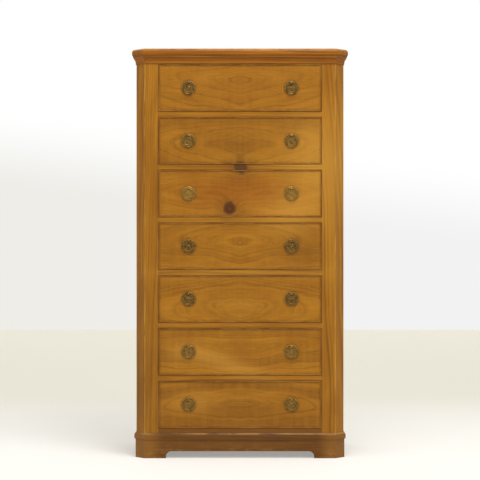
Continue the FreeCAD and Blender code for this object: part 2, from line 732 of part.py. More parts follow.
def eye():
    """The eye that the ring hangs in: a pierced barrel on a neck that stands on the plate."""
    middle = Vector(-EYE_LENGTH / 2, -RING_STANDOFF, RING_RADIUS)
    through = ACROSS * EYE_LENGTH
    stretch = 1 / math.cos(math.pi / EYE_FACETS)
    barrel = round_loop(EYE_FACETS, EYE_RADIUS * stretch, middle, OUTWARDS, UPWARDS, 0.5)
    hole = round_loop(EYE_FACETS, EYE_HOLE_RADIUS * stretch, middle, OUTWARDS, UPWARDS, 0.5)
    half_neck = EYE_NECK_HEIGHT / 2
    neck = block(
        -EYE_LENGTH / 2,
        EYE_LENGTH / 2,
        -RING_STANDOFF,
        -PLATE_THICKNESS,
        RING_RADIUS - half_neck,
        RING_RADIUS + half_neck,
    )
    solid = flat_face(barrel).extrude(through).fuse(neck).removeSplitter()
    return solid.cut(flat_face(hole).extrude(through))


def pull_plate():
    """A plate and its eye, cast in one piece."""
    return moved(turned_plate().fuse(eye()).removeSplitter(), y=FRONT_Y)


def ring():
    """The hanging ring: short straight bars of one many-sided section, mitred in a circle."""
    stretch = 1 / math.cos(math.pi / ROUND_FACETS)
    loops = []
    for i in range(ROUND_FACETS):
        turn = (i + 0.5) * 2 * math.pi / ROUND_FACETS
        reach = ACROSS * math.cos(turn) + UPWARDS * math.sin(turn)
        middle = reach * (RING_RADIUS * stretch)
        loops.append(round_loop(BAR_FACETS, RING_BAR_RADIUS, middle, reach * stretch, OUTWARDS))
    return moved(flat_sided(loops, in_a_circle=True), y=FRONT_Y - RING_STANDOFF)


# --- The whole chest ----------------------------------------------------------------------
def save_case():
    """Write every fixed sub-part."""
    right_post = front_post()
    right_panel = side_panel()
    right_rear_post = rear_post()
    plinth_front, plinth_sides = plinth()
    save("front_right_post", [right_post])
    save("front_left_post", [mirrored(right_post)])
    save("rear_posts", [mirrored(right_rear_post), right_rear_post])
    save("right_side_panel", [right_panel])
    save("left_side_panel", [mirrored(right_panel)])
    save("back_boards", back_boards())
    save("front_rails", front_rails())
    save("drawer_runners", runners())
    save("drawer_guides", guides())
    save("drawer_stops", stops())
    save("bottom_board", [bottom_board()])
    save("top_board", [top_board()])
    save("cornice_moulding", mitred_lengths(cornice_section(), 0, CORNICE_PROJECTION))
    save("base_moulding", mitred_lengths(base_moulding_section(), 0, BASE_MOULDING_PROJECTION))
    save("plinth_front", plinth_front)
    save("plinth_sides", plinth_sides)
    save("plinth_back", [plinth_back()])
    save("glue_blocks", glue_blocks())


def save_drawers():
    """Write every drawer with its pulls."""
    right_side = drawer_side()
    front = [drawer_front()] + cock_bead()
    box = [mirrored(right_side), right_side, drawer_back()]
    bottom = drawer_bottom()
    half = PULL_SPACING / 2
    plates = [moved(pull_plate(), x=x, z=PULL_HEIGHT) for x in (-half, half)]
    left_ring = moved(ring(), x=-half, z=PULL_HEIGHT)
    right_ring = moved(ring(), x=half, z=PULL_HEIGHT)
    for number in drawer_numbers():
        floor = opening_floor(number)
        name = "drawer_{}_".format(number)
        save(name + "front", [moved(piece, z=floor) for piece in front])
        save(name + "sides_and_back", [moved(piece, z=floor) for piece in box])
        save(name + "bottom", [moved(bottom, z=floor)])
        save(name + "pull_plates", [moved(plate, z=floor) for plate in plates])
        save(name + "left_ring", [moved(left_ring, z=floor)])
        save(name + "right_ring", [moved(right_ring, z=floor)])


os.makedirs("parts", exist_ok=True)
save_case()
save_drawers()
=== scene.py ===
import math

import bmesh
import bpy
import numpy as np
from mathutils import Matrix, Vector


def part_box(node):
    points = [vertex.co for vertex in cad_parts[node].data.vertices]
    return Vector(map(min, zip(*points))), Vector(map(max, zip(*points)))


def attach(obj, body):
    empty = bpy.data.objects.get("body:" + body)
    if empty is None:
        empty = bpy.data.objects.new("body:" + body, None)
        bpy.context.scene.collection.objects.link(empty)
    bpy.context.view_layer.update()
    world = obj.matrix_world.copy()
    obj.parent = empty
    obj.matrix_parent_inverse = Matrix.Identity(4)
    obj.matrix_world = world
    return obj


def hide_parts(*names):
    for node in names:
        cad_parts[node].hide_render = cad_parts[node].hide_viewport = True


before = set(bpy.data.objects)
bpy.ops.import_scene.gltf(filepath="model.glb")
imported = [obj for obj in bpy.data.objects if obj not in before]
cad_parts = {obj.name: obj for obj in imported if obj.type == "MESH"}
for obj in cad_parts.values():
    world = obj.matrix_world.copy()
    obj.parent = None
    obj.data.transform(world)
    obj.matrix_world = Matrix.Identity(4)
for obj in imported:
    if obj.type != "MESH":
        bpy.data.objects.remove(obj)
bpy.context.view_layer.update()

# A semainier in amber figured veneer, with darker mouldings and round ring pulls.
# Metres. +X is to the right of someone facing the chest, -Y its front, +Z up.

MM = 0.001
ACROSS = np.array([1.0, 0.0, 0.0])
OUTWARDS = np.array([0.0, -1.0, 0.0])
UPWARDS = np.array([0.0, 0.0, 1.0])
FULL_TURN = 2 * math.pi

# --- Case and drawers
DRAWERS = range(1, 8)
FRONT_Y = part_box("front_rails")[0].y
BACK_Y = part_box("back_boards")[1].y
CASE_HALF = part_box("right_side_panel")[1].x
CANT = 30 * MM  # cut off each front corner of the case
BACK_BOARDS = 5
FRONT_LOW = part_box("drawer_7_front")[0].z
FRONT_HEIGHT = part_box("drawer_7_front")[1].z - FRONT_LOW
FRONT_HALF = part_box("drawer_7_front")[1].x
PITCH = (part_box("drawer_1_front")[0].z - FRONT_LOW) / (len(DRAWERS) - 1)
LOW_DARKENING_TOP = FRONT_LOW - 1 * MM  # in the gap between the lowest rail and its drawer
BEAD_WIDTH = 3 * MM
BEAD_DEPTH = 7.4 * MM  # behind the plane of the front, just short of the bead's back
BOX_THICKNESS = 12 * MM  # of a drawer's sides and back
BOX_BACK_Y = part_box("drawer_7_sides_and_back")[1].y
SKIN = 0.3 * MM  # how far a face may lie from its plane and still count as on it

# --- Mouldings and top
TOP_OVERHANG = 15 * MM
TOP_UPPER_RADIUS = 11 * MM
TOP_LOWER_RADIUS = 6 * MM
CORNICE_PROJECTION = 11 * MM
CORNICE_FILLETS = (3 * MM, 5 * MM)  # below and above the hollow
CORNICE_HOLLOW = 2.8 * MM
BASE_PROJECTION = 7 * MM
BASE_FILLET = 6 * MM
BASE_TOP = 1.6 * MM  # out from the case, where the swell ends
BASE_SWELL = 2.4 * MM
MITRE_GAP = 0.1 * MM  # hairline between two lengths
NEXT_LENGTH = np.array([1.7, 0.3, 0.1])  # along, across and through the timber, to the next length

# --- Ring pulls
PULL_HALF = sum(corner.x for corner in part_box("drawer_7_right_ring")) / 2
PLATE_RADIUS = 23.8 * MM
RIM_MIDDLE = 21.6 * MM
RIM_HEIGHT = 2.5 * MM
FIELD_HEIGHT = 1.4 * MM
BOSS_RADIUS = 6.5 * MM
BOSS_HEIGHT = 1.4 * MM  # above the field
FIELD_START = 1.15 * BOSS_RADIUS
PEARLS = 44
PEARL_DEPTH = 0.5 * MM
RING_RADIUS = 16.5 * MM
BAR_AT_EYE = 1.8 * MM
BAR_AT_FOOT = 2.1 * MM
EYE_HOLE = 2.5 * MM
EYE_WALL = 1.9 * MM
EYE_LENGTH = 5.0 * MM
EYE_ROUNDING = 0.6 * MM
NECK_HALVES = (2.2 * MM, 2.8 * MM)  # across and up, at the eye
NECK_FLARE = 1.6 * MM  # added to both at the foot
NECK_START = 0.5 * MM  # in front of the drawer, so inside the plate
NECK_END = 0.3 * MM  # short of the eye's hole, so inside its wall
PIN_RADIUS = 1.5 * MM
PIN_HEIGHT = 0.9 * MM
PIN_SKIRT = 0.3 * MM  # below the field
PIN_OFFSET = 10.8 * MM

# --- How finely the new pieces are divided
CURVE_STEPS = 12
ROUNDING_STEPS = 5
BOSS_STEPS = 9
FIELD_STEPS = 22
PEARL_STEPS = 4  # to one pearl
EYE_STEPS = 32  # around the eye's hole
NECK_STEPS = (9, 28)  # along it and around it
PIN_STEPS = (6, 16)  # over the dome and around it
RING_STEPS = (72, 18)  # around the ring and around its bar
CREASE = math.radians(35)  # edges that turn by more stay sharp
MERGE = 1e-6  # points nearer than this become one


# --- Shapes from whole arrays of points ------------------------------------------------------
class Shape:
    """The points and faces of one piece, gathered from several surfaces."""

    def __init__(self):
        self.points = []
        self.lay = []
        self.faces = []
        self.count = 0

    def surface(self, points, lay=None, closed_rows=False, closed_columns=False, caps=False):
        """Adds a grid of points, P[i, j] for row i and column j.

        Each face joins (i, j), (i, j + 1), (i + 1, j + 1) and (i + 1, j). A closed way runs on
        from its last line to its first. Caps close the first and the last row with a flat face.
        lay is the place of each point in the timber: along the grain, across it and through it.
        """
        rows, columns = points.shape[:2]
        lay = points if lay is None else lay
        index = np.arange(rows * columns).reshape(rows, columns) + self.count
        down = np.roll(index, -1, axis=0)
        right = np.roll(index, -1, axis=1)
        both = np.roll(down, -1, axis=1)
        quads = np.stack([index, right, both, down], axis=-1)
        quads = quads[: rows if closed_rows else rows - 1, : columns if closed_columns else columns - 1]
        self.faces += quads.reshape(-1, 4).tolist()
        if caps:
            self.faces += [index[0].tolist(), index[-1][::-1].tolist()]
        self.points.append(points.reshape(-1, 3))
        self.lay.append(lay.reshape(-1, 3))
        self.count += rows * columns

    def made(self, name, material):
        """The finished object: doubles merged, faces turned outwards, sharp edges kept."""
        mesh = bpy.data.meshes.new(name)
        mesh.from_pydata(np.concatenate(self.points), [], self.faces)
        lay = mesh.attributes.new("lay", "FLOAT_VECTOR", "POINT")
        lay.data.foreach_set("vector", np.concatenate(self.lay).astype(np.float32).ravel())
        work = bmesh.new()
        work.from_mesh(mesh)
        bmesh.ops.remove_doubles(work, verts=work.verts, dist=MERGE)
        bmesh.ops.recalc_face_normals(work, faces=work.faces)
        work.to_mesh(mesh)
        work.free()
        mesh.shade_smooth()
        mesh.set_sharp_from_angle(angle=CREASE)
        mesh.materials.append(material)
        return placed(name, mesh)


def placed(name, data):
    """A new object in the scene."""
    thing = bpy.data.objects.new(name, data)
    bpy.context.scene.collection.objects.link(thing)
    return thing


def stand_in(piece, body, node):
    """Puts a new piece on a body, in place of a CAD node, which it hides."""
    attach(piece, body)
    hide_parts(node)


def arc(centre, radius, start, end, steps=CURVE_STEPS):
    """Points of an arc: centre + radius (cos a, sin a), with a from start to end in degrees."""
    angle = np.radians(np.linspace(start, end, steps))
    return np.stack([centre[0] + radius * np.cos(angle), centre[1] + radius * np.sin(angle)], axis=-1)


def bowed(start, end, bow):
    """Points from start to end, pushed bow to the left by the parabola 4 t (1 - t)."""
    start, end = np.array(start), np.array(end)
    t = np.linspace(0, 1, CURVE_STEPS)[:, None]
    chord = end - start
    left = np.array([-chord[1], chord[0]]) / np.linalg.norm(chord)
    return start + t * chord + 4 * t * (1 - t) * bow * left


def case_plan(offset=0.0):
    """Corners of the case in plan, and how far each moves for a unit of offset outwards.

    The plan runs from the left back corner round the front to the right back corner. At a 45
    degree corner the offset moves the corner by one along one normal and tan(22.5) across it.
    """
    mitre = math.tan(math.radians(22.5))
    cant_x = CASE_HALF - CANT
    cant_y = FRONT_Y + CANT
    left = [[-CASE_HALF, BACK_Y], [-CASE_HALF, cant_y], [-cant_x, FRONT_Y]]
    right = [[cant_x, FRONT_Y], [CASE_HALF, cant_y], [CASE_HALF, BACK_Y]]
    shift = np.array([[-1, 0], [-1, -mitre], [-mitre, -1], [mitre, -1], [1, -mitre], [1, 0]])
    return np.array(left + right) + offset * shift, shift


def swept(corners, shift, profile):
    """A profile of (outwards, up) points carried through the corners of a plan.

    Point (i, j) is corner i, moved by outwards[j] times its shift, at the height up[j].
    """
    plan = corners[:, None, :] + profile[None, :, :1] * shift[:, None, :]
    height = np.broadcast_to(profile[None, :, 1:], plan.shape[:2] + (1,))
    return np.concatenate([plan, height], axis=-1)


def round_the_profile(profile):
    """Distance of each profile point from the first one, measured round the profile."""
    return np.concatenate([[0], np.cumsum(np.linalg.norm(np.diff(profile, axis=0), axis=1))])


def mitred_lengths(profile):
    """Five lengths of one moulding round the case, mitred at its corners and square at its back.

    A length is the closed profile carried straight from one corner of the plan to the next,
    with a flat cap at each end. Its grain runs along it, and its lay is shifted so that
    neighbours don't match.
    """
    shape = Shape()
    corners, shift = case_plan()
    girth = round_the_profile(profile)
    for i in range(len(corners) - 1):
        side = corners[i + 1] - corners[i]
        run = side / np.linalg.norm(side)
        ends = swept(corners[i : i + 2], shift[i : i + 2], profile)
        ends[..., :2] += np.array([MITRE_GAP / 2, -MITRE_GAP / 2])[:, None, None] * run
        along = ends[..., :2] @ run
        lay = np.stack([along, np.broadcast_to(girth, along.shape), 0 * along], axis=-1)
        shape.surface(ends, lay + i * NEXT_LENGTH, closed_columns=True, caps=True)
    return shape


def cornice_profile():
    """A fillet, a hollow that leans out towards the top, and a fillet."""
    low, high = (corner.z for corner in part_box("cornice_moulding"))
    lower, upper = CORNICE_FILLETS
    hollow = bowed((lower, low + lower), (CORNICE_PROJECTION, high - upper), CORNICE_HOLLOW)
    foot = np.array([[0, low], [lower, low]])
    head = np.array([[CORNICE_PROJECTION, high], [0, high]])
    return np.concatenate([foot, hollow, head])


def base_profile():
    """An upright fillet, and a swelling curve that leads in to the case."""
    low, high = (corner.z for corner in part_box("base_moulding"))
    swell = bowed((BASE_PROJECTION, low + BASE_FILLET), (BASE_TOP, high), -BASE_SWELL)
    return np.concatenate([[[0, low], [BASE_PROJECTION, low]], swell, [[0, high]]])


def moulded_top():
    """The top board: its edge profile carried round the plan, then closed above, below and behind.

    The profile is a quarter round below, an upright and a larger quarter round above.
    """
    low, high = (corner.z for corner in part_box("top_board"))
    below = arc((-TOP_LOWER_RADIUS, low + TOP_LOWER_RADIUS), TOP_LOWER_RADIUS, -90, 0)
    above = arc((-TOP_UPPER_RADIUS, high - TOP_UPPER_RADIUS), TOP_UPPER_RADIUS, 0, 90)
    corners, shift = case_plan(TOP_OVERHANG)
    shape = Shape()
    edge = swept(corners, shift, np.concatenate([below, above]))
    shape.surface(edge, edge - low * UPWARDS)
    columns = edge.shape[1]
    index = np.arange(len(corners) * columns).reshape(-1, columns)
    shape.faces += [index[:, 0].tolist(), index[::-1, -1].tolist()]
    shape.faces += [np.concatenate([index[0], index[-1, ::-1]]).tolist()]
    return shape


# --- Ring pulls ------------------------------------------------------------------------------
def revolved(profile, centre, axis, first, steps, swelling=0.0):
    """A profile of (radius, height) points turned about an axis through centre.

    Point (i, j) is centre + height[i] axis + radius[i] (cos a first + sin a second), with
    a = j / steps of a full turn. swelling is added to the heights.
    """
    second = np.cross(axis, first)
    angle = np.linspace(0, FULL_TURN, steps, endpoint=False)
    around = np.cos(angle)[:, None] * first + np.sin(angle)[:, None] * second
    height = profile[:, 1][:, None] + swelling
    return centre + profile[:, 0][:, None, None] * around + height[..., None] * axis


def plate_surface(centre):
    """A round plate: a domed boss, a flat field and a rim cut into pearls.

    The height over the field is a rounded dome, h = H sqrt(1 - (r / R) ** 4), and a half-round
    rim whose height falls between pearls as |cos| of half their number times the angle.
    """
    boss = np.linspace(0, BOSS_RADIUS, BOSS_STEPS)
    radius = np.concatenate([boss, np.linspace(FIELD_START, PLATE_RADIUS, FIELD_STEPS)])
    dome = BOSS_HEIGHT * np.sqrt(np.clip(1 - (radius / BOSS_RADIUS) ** 4, 0, 1))
    half_rim = PLATE_RADIUS - RIM_MIDDLE
    rim = np.sqrt(np.clip(1 - ((radius - RIM_MIDDLE) / half_rim) ** 2, 0, 1))
    height = FIELD_HEIGHT + dome + (RIM_HEIGHT - FIELD_HEIGHT) * rim
    steps = PEARLS * PEARL_STEPS
    angle = np.linspace(0, FULL_TURN, steps, endpoint=False)
    valley = 1 - np.abs(np.cos(PEARLS / 2 * angle))
    pearls = -PEARL_DEPTH * rim[:, None] * valley
    front = revolved(np.stack([radius, height], axis=-1), centre, OUTWARDS, ACROSS, steps, pearls)
    back = revolved(np.array([[PLATE_RADIUS, 0], [0, 0]]), centre, OUTWARDS, ACROSS, steps)
    return np.concatenate([front, back])


def rounded_section(half_length, inner, outer, corner):
    """A closed (radius, height) section: a box between two radii, with rounded corners."""
    quarters = []
    for radius, height, start in (
        (outer - corner, half_length - corner, 0),
        (inner + corner, half_length - corner, 90),
        (inner + corner, corner - half_length, 180),
        (outer - corner, corner - half_length, 270),
    ):
        quarters.append(arc((radius, height), corner, start, start + 90, ROUNDING_STEPS))
    return np.concatenate(quarters)


def neck_surface(foot, reach):
    """The post of the eye: ellipses that narrow from a flared foot.

    At t from 0 at the foot to 1 at the eye, half the width and half the height are what they
    are at the eye, plus the flare times (1 - t) ** 3.
    """
    along, around = NECK_STEPS
    half_width, half_height = NECK_HALVES
    t = np.linspace(0, 1, along)[:, None]
    flare = NECK_FLARE * (1 - t) ** 3
    angle = np.linspace(0, FULL_TURN, around, endpoint=False)
    across = ((half_width + flare) * np.cos(angle))[..., None]
    up = ((half_height + flare) * np.sin(angle))[..., None]
    return foot + across * ACROSS + up * UPWARDS + (t * reach)[..., None] * OUTWARDS


def pin_surface(centre):
    """The head of a small round pin: a dome h = H sqrt(1 - (r / R) ** 2) over a low skirt."""
    over, around = PIN_STEPS
    radius = PIN_RADIUS * np.sin(np.linspace(0, math.pi / 2, over))
    height = PIN_HEIGHT * np.sqrt(np.clip(1 - (radius / PIN_RADIUS) ** 2, 0, 1))
    skirt = np.array([[PIN_RADIUS, -PIN_SKIRT], [0, -PIN_SKIRT]])
    profile = np.concatenate([np.stack([radius, height], axis=-1), skirt])
    return revolved(profile, centre, OUTWARDS, ACROSS, around)


def ring_surface(centre):
    """The hanging ring, a little thicker at its foot than in its eye.

    Its line is a circle of radius R, and the bar's radius is b = eye + (foot - eye)(1 - sin a) / 2
    at the angle a round the circle, with a = 90 degrees in the eye.
    """
    ring_steps, bar_steps = RING_STEPS
    a = np.linspace(0, FULL_TURN, ring_steps, endpoint=False)[:, None]
    b = np.linspace(0, FULL_TURN, bar_steps, endpoint=False)[None, :]
    bar = BAR_AT_EYE + (BAR_AT_FOOT - BAR_AT_EYE) * (1 - np.sin(a)) / 2
    reach = (RING_RADIUS + bar * np.cos(b))[..., None]
    radial = np.cos(a)[..., None] * ACROSS + np.sin(a)[..., None] * UPWARDS
    return centre + reach * radial + (bar * np.sin(b))[..., None] * OUTWARDS


def add_plate(plates, ring_centre):
    """Adds one plate to a shape, with the eye that its ring hangs in and two pins."""
    centre = np.array([ring_centre[0], FRONT_Y, ring_centre[2]])
    plates.surface(plate_surface(centre), closed_columns=True)
    section = rounded_section(EYE_LENGTH / 2, EYE_HOLE, EYE_HOLE + EYE_WALL, EYE_ROUNDING)
    eye_centre = ring_centre + UPWARDS * RING_RADIUS
    eye = revolved(section, eye_centre, ACROSS, OUTWARDS, EYE_STEPS)
    plates.surface(eye, closed_rows=True, closed_columns=True)
    foot = centre + UPWARDS * RING_RADIUS + OUTWARDS * NECK_START
    reach = (foot - eye_centre)[1] - EYE_HOLE - NECK_END
    plates.surface(neck_surface(foot, reach), closed_columns=True, caps=True)
    for way in (-1, 1):
        pin = centre + ACROSS * way * PIN_OFFSET + OUTWARDS * FIELD_HEIGHT
        plates.surface(pin_surface(pin), closed_columns=True)


def add_pulls(number, brass):
    """The two plates of a drawer with their eyes and pins, and the two rings."""
    plates = Shape()
    for side in ("left", "right"):
        ring_node = "drawer_%d_%s_ring" % (number, side)
        low, high = (np.array(corner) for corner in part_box(ring_node))
        ring_centre = (low + high) / 2
        add_plate(plates, ring_centre)
        ring = Shape()
        ring.surface(ring_surface(ring_centre), closed_rows=True, closed_columns=True)
        stand_in(ring.made("ring_%d_%s" % (number, side), brass), ring_node, ring_node)
    piece = plates.made("plates_%d" % number, brass)
    stand_in(piece, "drawer_%d" % number, "drawer_%d_pull_plates" % number)


# --- Finishes --------------------------------------------------------------------------------
def paint(red, green, blue):
    """A colour given as it looks on a screen, 0 to 255, as linear light.

    The darkest tones follow a line, and the others a power.
    """
    shown = np.array([red, green, blue]) / 255
    linear = np.where(shown <= 0.04045, shown / 12.92, ((shown + 0.055) / 1.055) ** 2.4)
    return (*linear.tolist(), 1.0)


# Light, middle and dark tones of each wood.
OAK = (paint(186, 146, 96), paint(168, 127, 79), paint(134, 95, 55))
PINE = (paint(172, 132, 84), paint(154, 114, 68), paint(114, 79, 45))
AMBER = (paint(170, 114, 26), paint(147, 93, 13), paint(92, 53, 7))
BEAD_WALNUT = (paint(138, 87, 22), paint(124, 74, 16), paint(84, 47, 9))
TOP_WALNUT = (paint(158, 98, 20), paint(140, 81, 12), paint(92, 50, 7))
BASE_WALNUT = (paint(111, 69, 18), paint(97, 58, 13), paint(61, 35, 8))

# Other tones.
PALE_AMBER = paint(200, 146, 56)
BURNT_AMBER = paint(84, 50, 12)
RED_AMBER = paint(142, 72, 12)
PALE_CORNER_AMBER = paint(176, 120, 50)
WORN_AND_HIGHLIGHT_AMBER = paint(206, 156, 76)
WORN_WALNUT = paint(150, 108, 62)
GRIME = paint(62, 38, 14)
END_GRAIN = paint(120, 78, 40)
BOARD_JOINT = paint(38, 26, 16)
KNOT_RIM = paint(54, 31, 10)
OLD_BRASS = paint(128, 98, 48)
BROWN_BRASS = paint(84, 62, 32)
BRIGHT_BRASS = paint(204, 158, 74)

# How timber is cut: the gap between rings, how far the pith wanders, the place of the pith, and
# how far it leans for a metre along the grain.
PLAIN_CUT = (5 * MM, 0.03, (0.0, 0.09, -0.35), 0.06)
WALNUT_CUT = (7 * MM, 0.03, (0.0, 0.09, -0.35), 0.06)
MOULDING_CUT = (7 * MM, 0.03, (0.0, 0.05, -0.12), 0.06)
BOARD_CUT = (6 * MM, 0.04, (0.0, 0.09, -0.20), 0.04)
VENEER_CUT = (9 * MM, 0.05, (0.0, 0.12, -0.1), 0.1)

# Noises in the timber: cycles a metre along, across and through it, detail, roughness.
PITH_WANDER = ((1.5, 5.0, 5.0), 2.0, 0.5)
TIMBER_FIBRE = ((7.0, 420.0, 420.0), 3.0, 0.6)
TIMBER_CLOUD = ((3.0, 11.0, 11.0), 3.0, 0.55)
RING_NOISE = (3.0, 0.7)  # detail and roughness only

# Noises in the chest: cycles a metre across, deep and up, detail, roughness.
WAVES = ((14.0, 14.0, 14.0), 2.0, 0.4)
RUBBING = ((16.0, 16.0, 9.0), 3.0, 0.6)
BRUISES = ((35.0, 35.0, 110.0), 4.0, 0.65)
DUST = ((60.0, 60.0, 60.0), 3.0, 0.6)
BRASS_BLOTCHES = ((140.0, 140.0, 140.0), 3.0, 0.6)
BRASS_PITS = ((900.0, 900.0, 900.0), 2.0, 0.5)

# Values of a noise: those between which most of it lies, and those over which a mark comes in.
MOST_LOW, MOST_HIGH = 0.3, 0.7
RUBBED = (0.38, 0.62)
BRUISED = (0.5, 0.66)
BROWNED = (0.35, 0.7)

# Glazes over timber: the values of a noise over which each comes in, and its full strength.
CLOUD_GLAZE = (MOST_LOW, MOST_HIGH, 1.0)
RING_GLAZE = (0.42, 0.68, 0.7)
FIBRE_GLAZE = (0.35, 0.8, 0.35)

# Depth of the relief.
BARE_FIBRE = 0.08 * MM
BOARD_FIBRE = 0.1 * MM
PLINTH_FIBRE = 0.05 * MM
POLISHED_FIBRE = 0.015 * MM
WAVE_DEPTH = 0.25 * MM
BRUISE_DEPTH = 0.12 * MM
JOINT_DEPTH = 0.6 * MM
PIT_DEPTH = 0.02 * MM

# Roughness in the low and in the high places of a noise.
BARE_ROUGHNESS = (0.6, 0.75)
PLINTH_ROUGHNESS = (0.34, 0.46)
MOULDING_ROUGHNESS = (0.32, 0.42)
FRONT_ROUGHNESS = (0.34, 0.44)
BRASS_ROUGHNESS = (0.3, 0.5)
BOARD_ROUGHNESS = 0.72
CASE_ROUGHNESS = (0.65, 0.36)  # of the bare and of the veneered faces

WOOD_SPECULAR = 0.17
BRASS_SPECULAR = 0.5

# The colour sockets of a Mix node, which has others of the same names.
MIX_FIRST, MIX_SECOND, MIX_RESULT = 6, 7, 2


class Nodes:
    """A tree of shader nodes, added one by one from the coordinates onwards."""

    def __init__(self, owner):
        owner.use_nodes = True
        self.tree = owner.node_tree

    def feed(self, socket, value):
        """Links a socket to a value's socket, or sets it to a plain value."""
        if isinstance(value, bpy.types.NodeSocket):
            self.tree.links.new(value, socket)
        else:
            socket.default_value = value

    def node(self, kind, inputs, **settings):
        """A node with its settings, and its inputs by name or number."""
        node = self.tree.nodes.new("ShaderNode" + kind)
        for name, value in settings.items():
            setattr(node, name, value)
        for key, value in inputs.items():
            self.feed(node.inputs[key], value)
        return node

    def place(self):
        """Where a point is in the chest, in metres."""
        return self.node("TexCoord", {}).outputs["Object"]

    def lay(self):
        """Where a point is in its own timber: along the grain, across it and through it."""
        return self.node("Attribute", {}, attribute_name="lay").outputs["Vector"]

    def seen(self, least=0.0):
        """1 for what the camera, polish and glass see, and the least for all other light."""
        ray = self.node("LightPath", {}).outputs
        share = least
        for kind in ("Is Camera Ray", "Is Glossy Ray", "Is Transmission Ray"):
            share = self.larger(ray[kind], share)
        return share

    def calc(self, operation, *values):
        """One step of arithmetic."""
        return self.node("Math", dict(enumerate(values)), operation=operation).outputs[0]

    def times(self, first, second):
        """Two values multiplied."""
        return self.calc("MULTIPLY", first, second)

    def less(self, first, second):
        """The first value less the second."""
        return self.calc("SUBTRACT", first, second)

    def size(self, value):
        """A value without its sign."""
        return self.calc("ABSOLUTE", value)

    def larger(self, first, second):
        """The larger of two values."""
        return self.calc("MAXIMUM", first, second)

    def past(self, value, edge):
        """1 where a value is past an edge, and 0 before it."""
        return self.calc("GREATER_THAN", value, edge)

    def before(self, value, edge):
        """1 where a value is before an edge, and 0 past it."""
        return self.calc("LESS_THAN", value, edge)

    def bell(self, square):
        """exp(-square): 1 in the middle, and fading away from it."""
        return self.calc("EXPONENT", self.times(square, -1.0))

    def calc3(self, operation, *values):
        """One step of arithmetic on vectors."""
        return self.node("VectorMath", dict(enumerate(values)), operation=operation).outputs[0]

    def length(self, vector):
        """How long a vector is."""
        return self.node("VectorMath", {0: vector}, operation="LENGTH").outputs["Value"]

    def apart(self, first, second):
        """How far apart two places are."""
        return self.node("VectorMath", {0: first, 1: second}, operation="DISTANCE").outputs["Value"]

    def split(self, vector):
        """The x, y and z of a vector."""
        return self.node("SeparateXYZ", {0: vector}).outputs[:3]

    def joined(self, x, y, z):
        """A vector from its x, y and z."""
        return self.node("CombineXYZ", {0: x, 1: y, 2: z}).outputs[0]

    def noise(self, vector, stretch, detail, roughness, colour=False):
        """Cloudy noise from 0 to 1, or three of them at once, with stretch cycles a metre."""
        inputs = {
            "Vector": self.calc3("MULTIPLY", vector, stretch),
            "Scale": 1.0,
            "Detail": detail,
            "Roughness": roughness,
        }
        return self.node("TexNoise", inputs).outputs["Color" if colour else "Fac"]

    def drift(self, vector, noise, reach):
        """A shift of up to half of reach each way, from three noises at once."""
        cloud = self.noise(vector, *noise, colour=True)
        return self.calc3("MULTIPLY", self.calc3("SUBTRACT", cloud, (0.5, 0.5, 0.5)), reach)

    def spread(self, value, low, high, to_low=0.0, to_high=1.0):
        """The smooth step from to_low, at low, to to_high, at high."""
        inputs = {"Value": value, "From Min": low, "From Max": high, "To Min": to_low, "To Max": to_high}
        return self.node("MapRange", inputs, interpolation_type="SMOOTHSTEP").outputs[0]

    def varied(self, noise, to_low, to_high):
        """A value that follows a noise, from to_low in its low places to to_high in its high ones."""
        return self.spread(noise, MOST_LOW, MOST_HIGH, to_low, to_high)

    def mix(self, amount, first, second):
        """Two colours mixed."""
        inputs = {0: amount, MIX_FIRST: first, MIX_SECOND: second}
        return self.node("Mix", inputs, data_type="RGBA").outputs[MIX_RESULT]

    def glazed(self, colour, *glazes):
        """A colour under glazes of (noise, low, high, strength, tone).

        Each tone comes in by a smooth step of its noise, from nothing at low to its full
        strength at high.
        """
        for noise, low, high, strength, tone in glazes:
            colour = self.mix(self.spread(noise, low, high, 0.0, strength), colour, tone)
        return colour


class Finish(Nodes):
    """One material and its shader."""

    def __init__(self, name):
        self.material = bpy.data.materials.new(name)
        super().__init__(self.material)
        self.shader = self.tree.nodes["Principled BSDF"]

    def relief(self, *layers):
        """Feeds the shader's normal with layers of (height from 0 to 1, depth in metres)."""
        height = 0.0
        for layer, depth in layers:
            height = self.calc("MULTIPLY_ADD", layer, depth, height)
        bump = self.node("Bump", {"Height": height, "Distance": 1.0})
        self.feed(self.shader.inputs["Normal"], bump.outputs[0])

    def shade(self, colour, roughness, specular=WOOD_SPECULAR, metallic=0.0):
        """Sets what the shader takes, and gives the finished material."""
        self.feed(self.shader.inputs["Base Color"], colour)
        self.feed(self.shader.inputs["Roughness"], roughness)
        self.shader.inputs["Specular IOR Level"].default_value = specular
        self.shader.inputs["Metallic"].default_value = metallic
        return self.material


def timber(finish, vector, tones, cut):
    """(colour, fibre): wood with its grain along the vector's x.

    The rings are circles round a wandering, leaning pith, and their darkness is a noise of the
    distance from it, which changes about once a ring gap. Fibres are noise drawn out along the
    grain.
    """
    light, middle, dark = tones
    ring_gap, wander, pith, lean = cut
    drift = finish.drift(vector, PITH_WANDER, (0.0, wander, wander))
    leaning = finish.calc3("MULTIPLY", vector, (lean, 1.0, 1.0))
    from_pith = finish.calc3("ADD", finish.calc3("SUBTRACT", leaning, pith), drift)
    distance = finish.joined(finish.length(from_pith), 0.0, 0.0)
    fibre = finish.noise(vector, *TIMBER_FIBRE)
    colour = finish.glazed(
        middle,
        (finish.noise(vector, *TIMBER_CLOUD), *CLOUD_GLAZE, light),
        (finish.noise(distance, (1 / ring_gap, 1.0, 1.0), *RING_NOISE), *RING_GLAZE, dark),
        (fibre, *FIBRE_GLAZE, dark),
    )
    return colour, fibre


def turned(finish, place, axis):
    """The chest's place with the grain's axis first."""
    x, y, z = finish.split(place)
    order = {"x": (x, z, y), "y": (y, z, x), "z": (z, x, y)}[axis]
    return finish.joined(*order)


